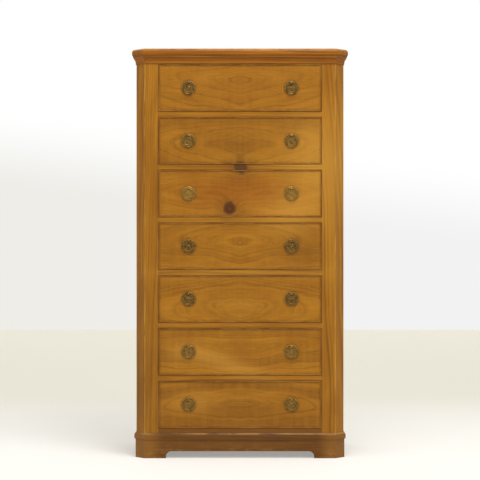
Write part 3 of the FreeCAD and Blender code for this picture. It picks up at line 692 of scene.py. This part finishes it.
def bare(finish, colour, fibre):
    """The finished material of bare wood, rough with its fibres."""
    finish.relief((fibre, BARE_FIBRE))
    return finish.shade(colour, finish.varied(fibre, *BARE_ROUGHNESS))


def polished(finish, colour, fibre, roughness):
    """The finished material of old polished wood, smooth over its fibres and slowly uneven."""
    waves = finish.noise(finish.place(), *WAVES)
    finish.relief((fibre, POLISHED_FIBRE), (waves, WAVE_DEPTH))
    return finish.shade(colour, roughness)


def rubbed_places(finish):
    """Where hands and cloths have rubbed the polish thin, from 0 to 1."""
    return finish.spread(finish.noise(finish.place(), *RUBBING), *RUBBED)


# --- Bare timber
NEXT_BOARD = (0.83, 0.29)  # along and across the log, from one back board to the next
BOARD_TONE = ((3.7, 1.0, 1.0), 2.0, 0.5)  # cycles a board, detail, roughness
BOARD_DARKNESS = 0.3
JOINT_HALF = 0.012  # half the dark line at a joint, in board widths
JOINT_DARKNESS = 0.85


def plain_timber(name, axis, tones):
    """Bare wood with its grain along one axis of the chest."""
    finish = Finish(name)
    colour, fibre = timber(finish, turned(finish, finish.place(), axis), tones, PLAIN_CUT)
    return bare(finish, colour, fibre)


def drawer_box_finish():
    """Plain oak, with its grain along the sides of a drawer and across its back."""
    finish = Finish("drawer_box_oak")
    place = finish.place()
    x, y, _ = finish.split(place)
    sides, fibre = timber(finish, turned(finish, place, "y"), OAK, PLAIN_CUT)
    back, _ = timber(finish, turned(finish, place, "x"), OAK, PLAIN_CUT)
    behind = finish.past(y, BOX_BACK_Y - BOX_THICKNESS - SKIN)
    between = finish.before(finish.size(x), FRONT_HALF - BOX_THICKNESS + SKIN)
    return bare(finish, finish.mix(finish.times(behind, between), sides, back), fibre)


def back_boarding():
    """Bare pine boards, each cut from its own log, with a dark line at every joint.

    A board's number is the whole part of its distance from the left edge over its width, and it
    shifts the place in the timber along and across, and sets how dark the board is.
    """
    finish = Finish("pine_boards")
    x, y, z = finish.split(finish.place())
    low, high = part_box("back_boards")
    board = finish.calc("DIVIDE", finish.less(x, low.x), (high.x - low.x) / BACK_BOARDS)
    number = finish.calc("FLOOR", board)
    next_along, next_across = NEXT_BOARD
    along = finish.calc("MULTIPLY_ADD", number, next_along, z)
    across = finish.calc("MULTIPLY_ADD", number, next_across, x)
    colour, fibre = timber(finish, finish.joined(along, across, y), PINE, BOARD_CUT)
    tone = finish.noise(finish.joined(number, 0.5, 0.5), *BOARD_TONE)
    colour = finish.mix(finish.varied(tone, 0.0, BOARD_DARKNESS), colour, PINE[2])
    from_middle = finish.size(finish.less(finish.calc("FRACT", board), 0.5))
    joint = finish.spread(from_middle, 0.5 - JOINT_HALF, 0.5, 0.0, JOINT_DARKNESS)
    colour = finish.mix(joint, colour, BOARD_JOINT)
    finish.relief((fibre, BOARD_FIBRE), (joint, -JOINT_DEPTH))
    return finish.shade(colour, BOARD_ROUGHNESS)


# --- Mouldings and plinth
CORNER_INSET = 10 * MM
CORNER_FADE = (35 * MM, 90 * MM)  # where the paleness starts to fade, and where none is left
CORNER_PALENESS = 0.26
BRUISED_HEIGHT = 50 * MM
BRUISING = (0.55, 0.08)  # at the floor, and from the bruised height up
BRUISE_DULLNESS = 0.3
EDGE_START = (0.35, 0.6)  # the rise of the normal over which the rubbing comes in
EDGE_END = (0.8, 0.95)  # and over which it goes
EDGE_WEAR = 0.3


def paler_corners(finish, colour):
    """A colour that pales towards the four corners of the chest.

    The tone falls off with the distance, in plan, from the nearest corner.
    """
    x, y, _ = finish.split(finish.place())
    deep = finish.size(finish.less(y, (FRONT_Y + BACK_Y) / 2))
    plan = finish.joined(finish.size(x), deep, 0.0)
    corner = (CASE_HALF - CORNER_INSET, (BACK_Y - FRONT_Y) / 2 - CORNER_INSET, 0.0)
    pale = finish.spread(finish.apart(plan, corner), *CORNER_FADE, CORNER_PALENESS, 0.0)
    return finish.mix(pale, colour, PALE_CORNER_AMBER)


def scuffed_plinth(name, axis):
    """Darker polished wood, dulled and bruised towards the floor.

    The bruises are the peaks of a noise, and they fade out with the height.
    """
    finish = Finish(name)
    place = finish.place()
    colour, fibre = timber(finish, turned(finish, place, axis), BASE_WALNUT, WALNUT_CUT)
    colour = paler_corners(finish, colour)
    height = finish.split(place)[2]
    peaks = finish.spread(finish.noise(place, *BRUISES), *BRUISED)
    bruised = finish.times(finish.spread(height, 0.0, BRUISED_HEIGHT, *BRUISING), peaks)
    colour = finish.mix(bruised, colour, WORN_WALNUT)
    finish.relief((fibre, PLINTH_FIBRE), (bruised, -BRUISE_DEPTH))
    roughness = finish.varied(fibre, *PLINTH_ROUGHNESS)
    return finish.shade(colour, finish.calc("MULTIPLY_ADD", bruised, BRUISE_DULLNESS, roughness))


def polished_moulding(name, tones, pale_corners=False):
    """Darker polished wood for the mouldings, with its grain along each length.

    It is rubbed where it faces outwards and up.
    """
    finish = Finish(name)
    colour, fibre = timber(finish, finish.lay(), tones, MOULDING_CUT)
    if pale_corners:
        colour = paler_corners(finish, colour)
    rise = finish.split(finish.node("NewGeometry", {}).outputs["Normal"])[2]
    edge = finish.times(finish.spread(rise, *EDGE_START), finish.spread(rise, *EDGE_END, 1.0, 0.0))
    rubbed = finish.times(finish.times(edge, rubbed_places(finish)), EDGE_WEAR)
    colour = finish.mix(rubbed, colour, WORN_AND_HIGHLIGHT_AMBER)
    return polished(finish, colour, fibre, finish.varied(fibre, *MOULDING_ROUGHNESS))


# --- Figured veneer
# Noises in a leaf: cycles a metre along, across and through it, detail, roughness.
LEAF_DRIFT = ((3.0, 7.0, 3.0), 3.0, 0.5)
LEAF_CLOUD = ((4.0, 16.0, 4.0), 4.0, 0.6)
LEAF_RIPPLE = ((75.0, 8.0, 8.0), 2.0, 0.5)
LEAF_FIBRE = ((12.0, 700.0, 90.0), 3.0, 0.65)
LEAF_PORES = ((55.0, 1600.0, 90.0), 1.0, 0.5)
# Noises in its rings: cycles a metre outwards, cycles a row and unused, detail, roughness.
LEAF_RINGS = ((130.0, 5.0, 1.0), 5.0, 0.72)
LEAF_BANDS = ((24.0, 3.0, 1.0), 2.0, 0.5)
# Glazes over a leaf: the values of a noise over which each comes in, and its full strength.
LEAF_CLOUD_GLAZE = (0.3, 0.72, 1.0)
LEAF_BAND_GLAZE = (0.45, 0.75, 0.45)
LEAF_RING_GLAZE = (0.42, 0.7, 0.6)
LEAF_RIPPLE_GLAZE = (0.35, 0.75, 0.25)
LEAF_FIBRE_GLAZE = (0.4, 0.8, 0.35)
LEAF_PORE_GLAZE = (0.62, 0.72, 0.6)
DRIFT_REACH = (0.05, 0.09, 0.05)
NEXT_LEAF = 0.37  # through the log, from one row's leaf to the next
OVAL_FLATNESS = 0.16  # height over length of the ovals of rings
# A row's ovals have their middle at middle + reach sin(turn row + start), in the flattened leaf.
OVAL_ALONG = (1.9, 0.5, 28 * MM, -14 * MM)  # turn, start, reach, middle
OVAL_UP = (2.4, 0.0, 30 * MM, 0.0)

# Soft places in the front, partly figure and partly painted light and shade: x, z, half width, half
# height, turn in degrees, strength.
DARK_AND_SHADED_PLACES = (
    (0.050, 1.270, 0.260, 0.038, 3, 0.17),
    (0.187, 1.142, 0.070, 0.040, 0, 0.15),
    (-0.030, 1.100, 0.110, 0.070, 0, 0.18),
    (-0.010, 1.000, 0.130, 0.110, 0, 0.09),
    (0.207, 0.711, 0.085, 0.065, 0, 0.22),
    (0.010, 0.165, 0.190, 0.045, 0, 0.28),
    # painted shade down the lower left stile, on the side away from the light
    (-0.340, 0.240, 0.070, 0.300, 0, 0.35),
    (0.335, 0.180, 0.045, 0.060, 0, 0.14),
)
PALE_AND_LIT_PLACES = (
    # this place and the next: a painted pool of light from the right, over the second and third rows
    (0.265, 1.010, 0.120, 0.150, 0, 0.45),
    (0.170, 0.845, 0.100, 0.065, 10, 0.44),
    (0.000, 0.815, 0.300, 0.022, 0, 0.12),
    (0.000, 0.633, 0.280, 0.022, 0, 0.22),
    (-0.005, 0.516, 0.110, 0.035, 0, 0.12),
    (-0.181, 0.362, 0.055, 0.030, 0, 0.25),
    (-0.059, 0.328, 0.150, 0.030, -18, 0.35),
    (-0.169, 0.191, 0.070, 0.035, 0, 0.25),
    # painted light down the right stile, on the side towards the light
    (0.335, 0.800, 0.035, 0.600, 0, 0.08),
)
RED_PLACES = (
    (0.020, 1.265, 0.200, 0.040, 0, 0.10),
    (-0.010, 0.905, 0.190, 0.065, 0, 0.40),
)

# Knots: x, z, radius, colour of the heart. Their edges and reaches are in radii.
KNOTS = (
    (0.002, 0.996, 0.019, paint(94, 60, 24)),
    (-0.036, 0.853, 0.020, paint(106, 54, 16)),
)
KNOT_OUTLINE = ((30.0, 38.0, 1.0), 1.5, 0.45)
KNOT_RINGS = ((7.0, 50.0, 1.0), 2.0, 0.6)
KNOT_UNEVENNESS = 0.2
KNOT_OUTLINE_RANGE = (0.2, 0.8)  # the values of its noise over which a knot's outline moves
KNOT_RINGED = (0.35, 0.7)  # and over which its rings come in
HEART_EDGE = (0.78, 1.08)  # where the heart starts to fade, and where it has ended
HALO_REACH = 2.0
HALO_STRENGTH = 0.5
RIM_REACH = 0.2
RIM_STRENGTH = 0.55
TURNED_REACH = 1.5  # how far out the grain turns round a knot
TURNED_ASIDE = 50 * MM  # how far its middle pushes the grain


def soft_place(finish, x, z, place):
    """A soft round place in the front: exp(-d ** 2), with d the distance over its half sizes."""
    middle_x, middle_z, half_x, half_z, turn = place
    dx = finish.less(x, middle_x)
    dz = finish.less(z, middle_z)
    cos = math.cos(math.radians(turn))
    sin = math.sin(math.radians(turn))
    u = finish.calc("MULTIPLY_ADD", dz, sin / half_x, finish.times(dx, cos / half_x))
    v = finish.calc("MULTIPLY_ADD", dz, cos / half_z, finish.times(dx, -sin / half_z))
    return finish.bell(finish.calc("MULTIPLY_ADD", u, u, finish.times(v, v)))


def round_knots(finish, x, z):
    """1 at the middle of a knot, fading out over the reach in which the grain turns aside."""
    places = []
    for knot_x, knot_z, radius, _ in KNOTS:
        reach = radius * TURNED_REACH
        places.append(soft_place(finish, x, z, (knot_x, knot_z, reach, reach, 0)))
    return finish.larger(*places)


def knotted(finish, x, z, colour):
    """A colour with the knots: a ringed heart in a dark rim, and a burnt halo round it.

    The distance d from a knot's middle, in radii, wanders by a noise. The halo falls off as
    exp(-(d / reach) ** 2) and the rim as exp(-((d - 1) / reach) ** 2).
    """
    front = finish.joined(x, z, 0.0)
    outline = finish.noise(front, *KNOT_OUTLINE)
    for knot_x, knot_z, radius, heart in KNOTS:
        least = (1 - KNOT_UNEVENNESS) / radius
        most = (1 + KNOT_UNEVENNESS) / radius
        length = finish.length(finish.calc3("SUBTRACT", front, (knot_x, knot_z, 0.0)))
        away = finish.times(length, finish.spread(outline, *KNOT_OUTLINE_RANGE, least, most))
        rings = finish.noise(finish.joined(away, knot_x, 0.0), *KNOT_RINGS)
        middle = finish.mix(finish.spread(rings, *KNOT_RINGED), heart, KNOT_RIM)
        halo = finish.bell(finish.calc("POWER", finish.calc("DIVIDE", away, HALO_REACH), 2.0))
        colour = finish.mix(finish.times(halo, HALO_STRENGTH), colour, BURNT_AMBER)
        colour = finish.mix(finish.spread(away, *HEART_EDGE, 1.0, 0.0), colour, middle)
        past_rim = finish.calc("DIVIDE", finish.less(away, 1.0), RIM_REACH)
        rim = finish.bell(finish.calc("POWER", past_rim, 2.0))
        colour = finish.mix(finish.times(rim, RIM_STRENGTH), colour, KNOT_RIM)
    return colour


def toned(finish, x, z, colour):
    """A colour with the soft places, partly figure and partly painted light and shade, and the knots of
    the whole front laid over it.
    """
    for tone, places in ((BURNT_AMBER, DARK_AND_SHADED_PLACES), (PALE_AMBER, PALE_AND_LIT_PLACES), (RED_AMBER, RED_PLACES)):
        for *place, strength in places:
            amount = finish.times(soft_place(finish, x, z, place), strength)
            colour = finish.mix(amount, colour, tone)
    return knotted(finish, x, z, colour)


def from_row(finish, number, turn, start, reach, middle):
    """A length that differs from row to row: middle + reach sin(turn number + start)."""
    sine = finish.calc("SINE", finish.calc("MULTIPLY_ADD", number, turn, start))
    return finish.calc("MULTIPLY_ADD", sine, reach, middle)


def figured_veneer(finish):
    """(colour, fibre): amber veneer whose leaves open like a book about the middle.

    Each row of drawers has its own leaf. Its rings and bands are noises of the distance from
    the middle of its ovals, which drifts by a noise, with lengths along the leaf flattened. Soft
    light and dark places, partly figure and partly painted light and shade, lie over it, and the
    grain turns aside round two knots.
    """
    x, y, z = finish.split(finish.place())
    row = finish.calc("DIVIDE", finish.less(z, FRONT_LOW - (PITCH - FRONT_HEIGHT) / 2), PITCH)
    number = finish.calc("FLOOR", row)
    level = finish.times(finish.less(finish.calc("FRACT", row), 0.5), PITCH)
    along = finish.size(x)
    across = finish.calc("MULTIPLY_ADD", round_knots(finish, x, z), TURNED_ASIDE, level)
    leaf = finish.joined(along, across, finish.calc("MULTIPLY_ADD", number, NEXT_LEAF, y))
    flat = finish.joined(finish.times(along, OVAL_FLATNESS), across, 0.0)
    oval_along = from_row(finish, number, *OVAL_ALONG)
    oval_up = from_row(finish, number, *OVAL_UP)
    from_middle = finish.calc3("SUBTRACT", flat, finish.joined(oval_along, oval_up, 0.0))
    from_middle = finish.calc3("ADD", from_middle, finish.drift(leaf, LEAF_DRIFT, DRIFT_REACH))
    distance = finish.joined(finish.length(from_middle), number, 0.0)
    fibre = finish.noise(leaf, *LEAF_FIBRE)
    light, middle, dark = AMBER
    colour = finish.glazed(
        middle,
        (finish.noise(leaf, *LEAF_CLOUD), *LEAF_CLOUD_GLAZE, light),
        (finish.noise(distance, *LEAF_BANDS), *LEAF_BAND_GLAZE, dark),
        (finish.noise(distance, *LEAF_RINGS), *LEAF_RING_GLAZE, dark),
        (finish.noise(leaf, *LEAF_RIPPLE), *LEAF_RIPPLE_GLAZE, light),
        (fibre, *LEAF_FIBRE_GLAZE, dark),
        (finish.noise(leaf, *LEAF_PORES), *LEAF_PORE_GLAZE, dark),
    )
    return toned(finish, x, z, colour), fibre


# --- Veneered case
ARRIS_FADE = (0.4 * MM, 3 * MM)  # from the arris, where the wear and painted highlight start to fade and have ended
ARRIS_WEAR_AND_HIGHLIGHT = 0.45


def outside(finish):
    """1 on the outer faces of the case: its front plane, its cants and its sides."""
    x, y, _ = finish.split(finish.place())
    wide = finish.size(x)
    front = finish.past(finish.times(y, -1.0), -FRONT_Y - SKIN)
    side = finish.past(wide, CASE_HALF - SKIN)
    cant = finish.past(finish.less(wide, y), CASE_HALF - FRONT_Y - CANT - SKIN)
    return finish.larger(finish.larger(front, side), cant)


def from_arris(finish, x, y):
    """Distance from the nearest of the two upright edges of a canted corner."""
    plan = finish.joined(finish.size(x), y, 0.0)
    front_arris = finish.apart(plan, (CASE_HALF - CANT, FRONT_Y, 0.0))
    side_arris = finish.apart(plan, (CASE_HALF, FRONT_Y + CANT, 0.0))
    return finish.calc("MINIMUM", front_arris, side_arris)


def veneered_case(name, axis, low_darkening=0.0):
    """Veneer on the outer faces, plain oak on the rest, and darker on the lowest rail."""
    finish = Finish(name)
    place = finish.place()
    x, y, z = finish.split(place)
    vector = turned(finish, place, axis)
    show = outside(finish)
    veneer, fibre = timber(finish, vector, AMBER, VENEER_CUT)
    # The soft places lay their painted light and shade over the case veneer as well.
    veneer = toned(finish, x, z, veneer)
    # Darker on the lowest rail, mixed towards the base walnut.
    if low_darkening:
        low = finish.before(z, LOW_DARKENING_TOP)
        veneer = finish.mix(finish.times(low, low_darkening), veneer, BASE_WALNUT[1])
    # Paler along the arrises: wear, and a painted highlight where a rounded edge would catch the light.
    worn_and_lit = finish.spread(from_arris(finish, x, y), *ARRIS_FADE, ARRIS_WEAR_AND_HIGHLIGHT, 0.0)
    veneer = finish.mix(finish.times(worn_and_lit, rubbed_places(finish)), veneer, WORN_AND_HIGHLIGHT_AMBER)
    inner, _ = timber(finish, vector, OAK, PLAIN_CUT)
    roughness = finish.spread(show, 0.0, 1.0, *CASE_ROUGHNESS)
    return polished(finish, finish.mix(show, inner, veneer), fibre, roughness)


# --- Drawer fronts
GRIME_REACH = 8 * MM
GRIME_BY_BEAD = 0.4
GRIME_BY_PLATE = 0.55
GRIME_LEFT = 0.35  # of it, where it is thinnest
NOSE_START = 1.5 * MM  # in front of the face
NOSE_WEAR = 0.3
END_GRAIN_STRENGTH = 0.8


def grime(finish, wide, rise):
    """Old wax and dust in the corner along the bead and round the plates, from 0 to 1.

    wide and rise are the distances from the middle of the front. The dirt fades over a few
    millimetres from the bead and from the edge of a plate, and a noise breaks it up.
    """
    from_side = finish.less(FRONT_HALF - BEAD_WIDTH, wide)
    from_edge = finish.less(FRONT_HEIGHT / 2 - BEAD_WIDTH, rise)
    from_bead = finish.calc("MINIMUM", from_side, from_edge)
    from_pull = finish.length(finish.joined(finish.less(wide, PULL_HALF), rise, 0.0))
    along_bead = finish.spread(from_bead, 0.0, GRIME_REACH, GRIME_BY_BEAD, 0.0)
    round_plate = finish.spread(from_pull, PLATE_RADIUS, PLATE_RADIUS + GRIME_REACH, GRIME_BY_PLATE, 0.0)
    broken = finish.varied(finish.noise(finish.place(), *DUST), GRIME_LEFT, 1.0)
    return finish.times(finish.larger(along_bead, round_plate), broken)


def drawer_front_finish():
    """Figured veneer inside a darker cock bead, with plain oak on the hidden faces."""
    finish = Finish("drawer_veneer")
    place = finish.place()
    x, y, z = finish.split(place)
    wide = finish.size(x)
    row = finish.calc("DIVIDE", finish.less(z, FRONT_LOW), PITCH)
    level = finish.times(finish.calc("FRACT", row), PITCH)
    rise = finish.size(finish.less(level, FRONT_HEIGHT / 2))
    upright_bead = finish.past(wide, FRONT_HALF - BEAD_WIDTH)
    level_bead = finish.past(rise, FRONT_HEIGHT / 2 - BEAD_WIDTH)
    bead = finish.larger(upright_bead, level_bead)
    bead = finish.times(bead, finish.before(y, FRONT_Y + BEAD_DEPTH))
    face = finish.before(y, FRONT_Y + SKIN)
    cut_end = finish.past(wide, FRONT_HALF - SKIN)
    nose = finish.times(finish.before(y, FRONT_Y - NOSE_START), rubbed_places(finish))
    veneer, fibre = figured_veneer(finish)
    veneer = finish.mix(grime(finish, wide, rise), veneer, GRIME)
    vector = turned(finish, place, "x")
    inner, _ = timber(finish, vector, OAK, PLAIN_CUT)
    inner = finish.mix(finish.times(cut_end, END_GRAIN_STRENGTH), inner, END_GRAIN)
    strip, _ = timber(finish, vector, BEAD_WALNUT, WALNUT_CUT)
    strip = finish.mix(finish.times(nose, NOSE_WEAR), strip, WORN_AND_HIGHLIGHT_AMBER)
    colour = finish.mix(bead, finish.mix(face, inner, veneer), strip)
    return polished(finish, colour, fibre, finish.varied(fibre, *FRONT_ROUGHNESS))


# --- Brass
# Painted reflection: the brass of some drawers' pulls is lightened where the lamps' reflection lies.
PULL_PAINTED_REFLECTION = (0.0, 0.06, 0.2, 0.0, 0.0, 0.1, 0.08)  # of each drawer's pulls, from the top


def brass_finish(name, painted_reflection):
    """Old brass, brown in the hollows, lightened towards bright brass by a share from 0 to 1 as a painted
    reflection.
    """
    finish = Finish(name)
    place = finish.place()
    blotch = finish.noise(place, *BRASS_BLOTCHES)
    colour = finish.mix(finish.spread(blotch, *BROWNED), OLD_BRASS, BROWN_BRASS)
    # Painted reflection: the brass lightened towards bright brass, standing in for the lamps' reflection.
    colour = finish.mix(painted_reflection, colour, BRIGHT_BRASS)
    finish.relief((finish.noise(place, *BRASS_PITS), PIT_DEPTH))
    return finish.shade(colour, finish.varied(blotch, *BRASS_ROUGHNESS), BRASS_SPECULAR, metallic=1.0)


# --- The chest -------------------------------------------------------------------------------
UPRIGHTS = ("front_left_post", "front_right_post", "left_side_panel", "right_side_panel", "rear_posts")
LOW_RAIL_DARKENING = 0.75


def dress(material, *nodes):
    """Gives CAD nodes a finish."""
    for node in nodes:
        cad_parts[node].data.materials.clear()
        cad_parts[node].data.materials.append(material)


def of_each_drawer(part):
    """The nodes of one part of all the drawers."""
    return ["drawer_%d_%s" % (number, part) for number in DRAWERS]


for number, painted_reflection in zip(DRAWERS, PULL_PAINTED_REFLECTION):
    add_pulls(number, brass_finish("brass_%d" % number, painted_reflection))

top_wood = polished_moulding("top_walnut", TOP_WALNUT)
base_wood = polished_moulding("base_walnut", BASE_WALNUT, pale_corners=True)
for name, shape, node, wood in (
    ("cornice_lengths", mitred_lengths(cornice_profile()), "cornice_moulding", top_wood),
    ("base_lengths", mitred_lengths(base_profile()), "base_moulding", base_wood),
    ("moulded_top", moulded_top(), "top_board", top_wood),
):
    stand_in(shape.made(name, wood), "carcass", node)

dress(drawer_front_finish(), *of_each_drawer("front"))
dress(veneered_case("case_veneer_upright", "z"), *UPRIGHTS)
dress(veneered_case("case_veneer_level", "x", LOW_RAIL_DARKENING), "front_rails")
dress(drawer_box_finish(), *of_each_drawer("sides_and_back"))
dress(plain_timber("oak_lengthwise", "y", OAK), "drawer_runners", "drawer_guides")
dress(plain_timber("oak_level", "x", OAK), "bottom_board", "drawer_stops", *of_each_drawer("bottom"))
dress(back_boarding(), "back_boards")
dress(plain_timber("pine_upright", "z", PINE), "glue_blocks")
dress(plain_timber("pine_level", "x", PINE), "plinth_back")
dress(scuffed_plinth("plinth_walnut", "x"), "plinth_front")
dress(scuffed_plinth("plinth_side_walnut", "y"), "plinth_sides")


# --- Room ------------------------------------------------------------------------------------
ROOM_HALF = 12.0
ROOM_FRONT_Y = -7.0
WALL_Y = 6.9
WALL_HEIGHT = 9.0

WHITE = paint(255, 255, 255)
GREY_WALL = paint(242, 242, 243)
CREAM_WALL = paint(238, 237, 232)
CREAM_X = (-1.6, 1.2)  # over which the wall turns from cream to grey
WHITE_Z = (0.9, 1.6)  # over which it turns white, at x = 0
WHITE_SLOPE = 0.12  # how much lower that is for each metre to the right
FLOOR_WHITE = paint(254, 252, 245)
FLOOR_CREAM = paint(237, 234, 220)
FLOOR_CREAM_Y = (0.3, 2.0)  # over which the floor turns cream
FLOOR_OWN_LIGHT = 0.33
WALL_OWN_LIGHT = 1.0
PAPER_ROUGHNESS = 0.9

# Even light: name, azimuth and elevation in degrees, strength.
SUNS = (
    ("right_light", 38, 38, 1.05),
    ("left_light", -42, 34, 0.82),
)
SUN_SOFTNESS = math.radians(62)
SOFTBOX_PLACE = Vector((0.3, FRONT_Y - 0.9, 2.85))
SOFTBOX_AIM = Vector((0.0, FRONT_Y, 1.0))
SOFTBOX_WIDTH = 0.8
SOFTBOX_WATTS = 26
WORLD_LIGHT = 0.42

SENSOR_WIDTH = 36.0  # in mm, as the lens is
LENS = 109.0
CAMERA_DISTANCE = 4.97
CAMERA_HEIGHT = 0.746


def studio_paper(name, colour_of, own_light):
    """Plain paper that shows the camera and polished surfaces a share of its own colour.

    The rest of what they see is lit by the lamps, and so it keeps the chest's shadow.
    """
    finish = Finish(name)
    colour = colour_of(finish)
    finish.shade(colour, PAPER_ROUGHNESS, specular=0.0)
    share = finish.times(finish.seen(), own_light)
    plain = finish.node("Emission", {"Color": colour}).outputs[0]
    mixer = finish.node("MixShader", {0: share, 1: finish.shader.outputs[0], 2: plain})
    finish.feed(finish.tree.nodes["Material Output"].inputs["Surface"], mixer.outputs[0])
    return finish.material


def wall_colour(finish):
    """White above, a breath greyer below, and creamier towards the left."""
    across, _, height = finish.split(finish.place())
    below = finish.mix(finish.spread(across, *CREAM_X), CREAM_WALL, GREY_WALL)
    level = finish.calc("MULTIPLY_ADD", across, WHITE_SLOPE, height)
    return finish.mix(finish.spread(level, *WHITE_Z), below, WHITE)


def floor_colour(finish):
    """White in front of the chest and cream behind it."""
    _, depth, _ = finish.split(finish.place())
    return finish.mix(finish.spread(depth, *FLOOR_CREAM_Y), FLOOR_WHITE, FLOOR_CREAM)


def stage_sheet(name, near, far, colour_of, own_light):
    """One flat sheet of paper as wide as the room, from one edge at (y, z) to another."""
    corners = [(-ROOM_HALF, *near), (ROOM_HALF, *near), (ROOM_HALF, *far), (-ROOM_HALF, *far)]
    mesh = bpy.data.meshes.new(name)
    mesh.from_pydata(corners, [], [(0, 1, 2, 3)])
    mesh.materials.append(studio_paper(name + "_paper", colour_of, own_light))
    placed(name, mesh)


def sun(name, azimuth, elevation, strength):
    """Even soft light from one direction; azimuth 0 comes from the front and 90 from the right."""
    light = bpy.data.lights.new(name, "SUN")
    light.energy = strength
    light.angle = SUN_SOFTNESS
    placed(name, light).rotation_euler = (math.radians(90 - elevation), 0, math.radians(azimuth))


def softbox(name):
    """A square lamp in front of the chest and above it, turned towards its front."""
    light = bpy.data.lights.new(name, "AREA")
    light.energy = SOFTBOX_WATTS
    light.size = SOFTBOX_WIDTH
    lamp = placed(name, light)
    lamp.location = SOFTBOX_PLACE
    lamp.rotation_euler = (SOFTBOX_AIM - SOFTBOX_PLACE).to_track_quat("-Z", "Y").to_euler()


def studio_world(name):
    """A world that lights the chest evenly, and is plain white to the camera, polish and glass."""
    world = bpy.data.worlds.new(name)
    sky = Nodes(world)
    background = sky.tree.nodes["Background"]
    sky.feed(background.inputs["Color"], WHITE)
    sky.feed(background.inputs["Strength"], sky.seen(WORLD_LIGHT))
    bpy.context.scene.world = world


def front_camera(name):
    """A long lens square to the chest, at a little over half its height."""
    camera = bpy.data.cameras.new(name)
    camera.sensor_width = SENSOR_WIDTH
    camera.lens = LENS
    holder = placed(name, camera)
    holder.location = (0.0, FRONT_Y - CAMERA_DISTANCE, CAMERA_HEIGHT)
    holder.rotation_euler = (math.pi / 2, 0, 0)
    bpy.context.scene.camera = holder


stage_sheet("floor", (ROOM_FRONT_Y, 0.0), (WALL_Y, 0.0), floor_colour, FLOOR_OWN_LIGHT)
stage_sheet("wall", (WALL_Y, 0.0), (WALL_Y, WALL_HEIGHT), wall_colour, WALL_OWN_LIGHT)
for lamp in SUNS:
    sun(*lamp)
softbox("high_light")
studio_world("studio")
front_camera("camera")
bpy.context.scene.view_settings.view_transform = "Standard"
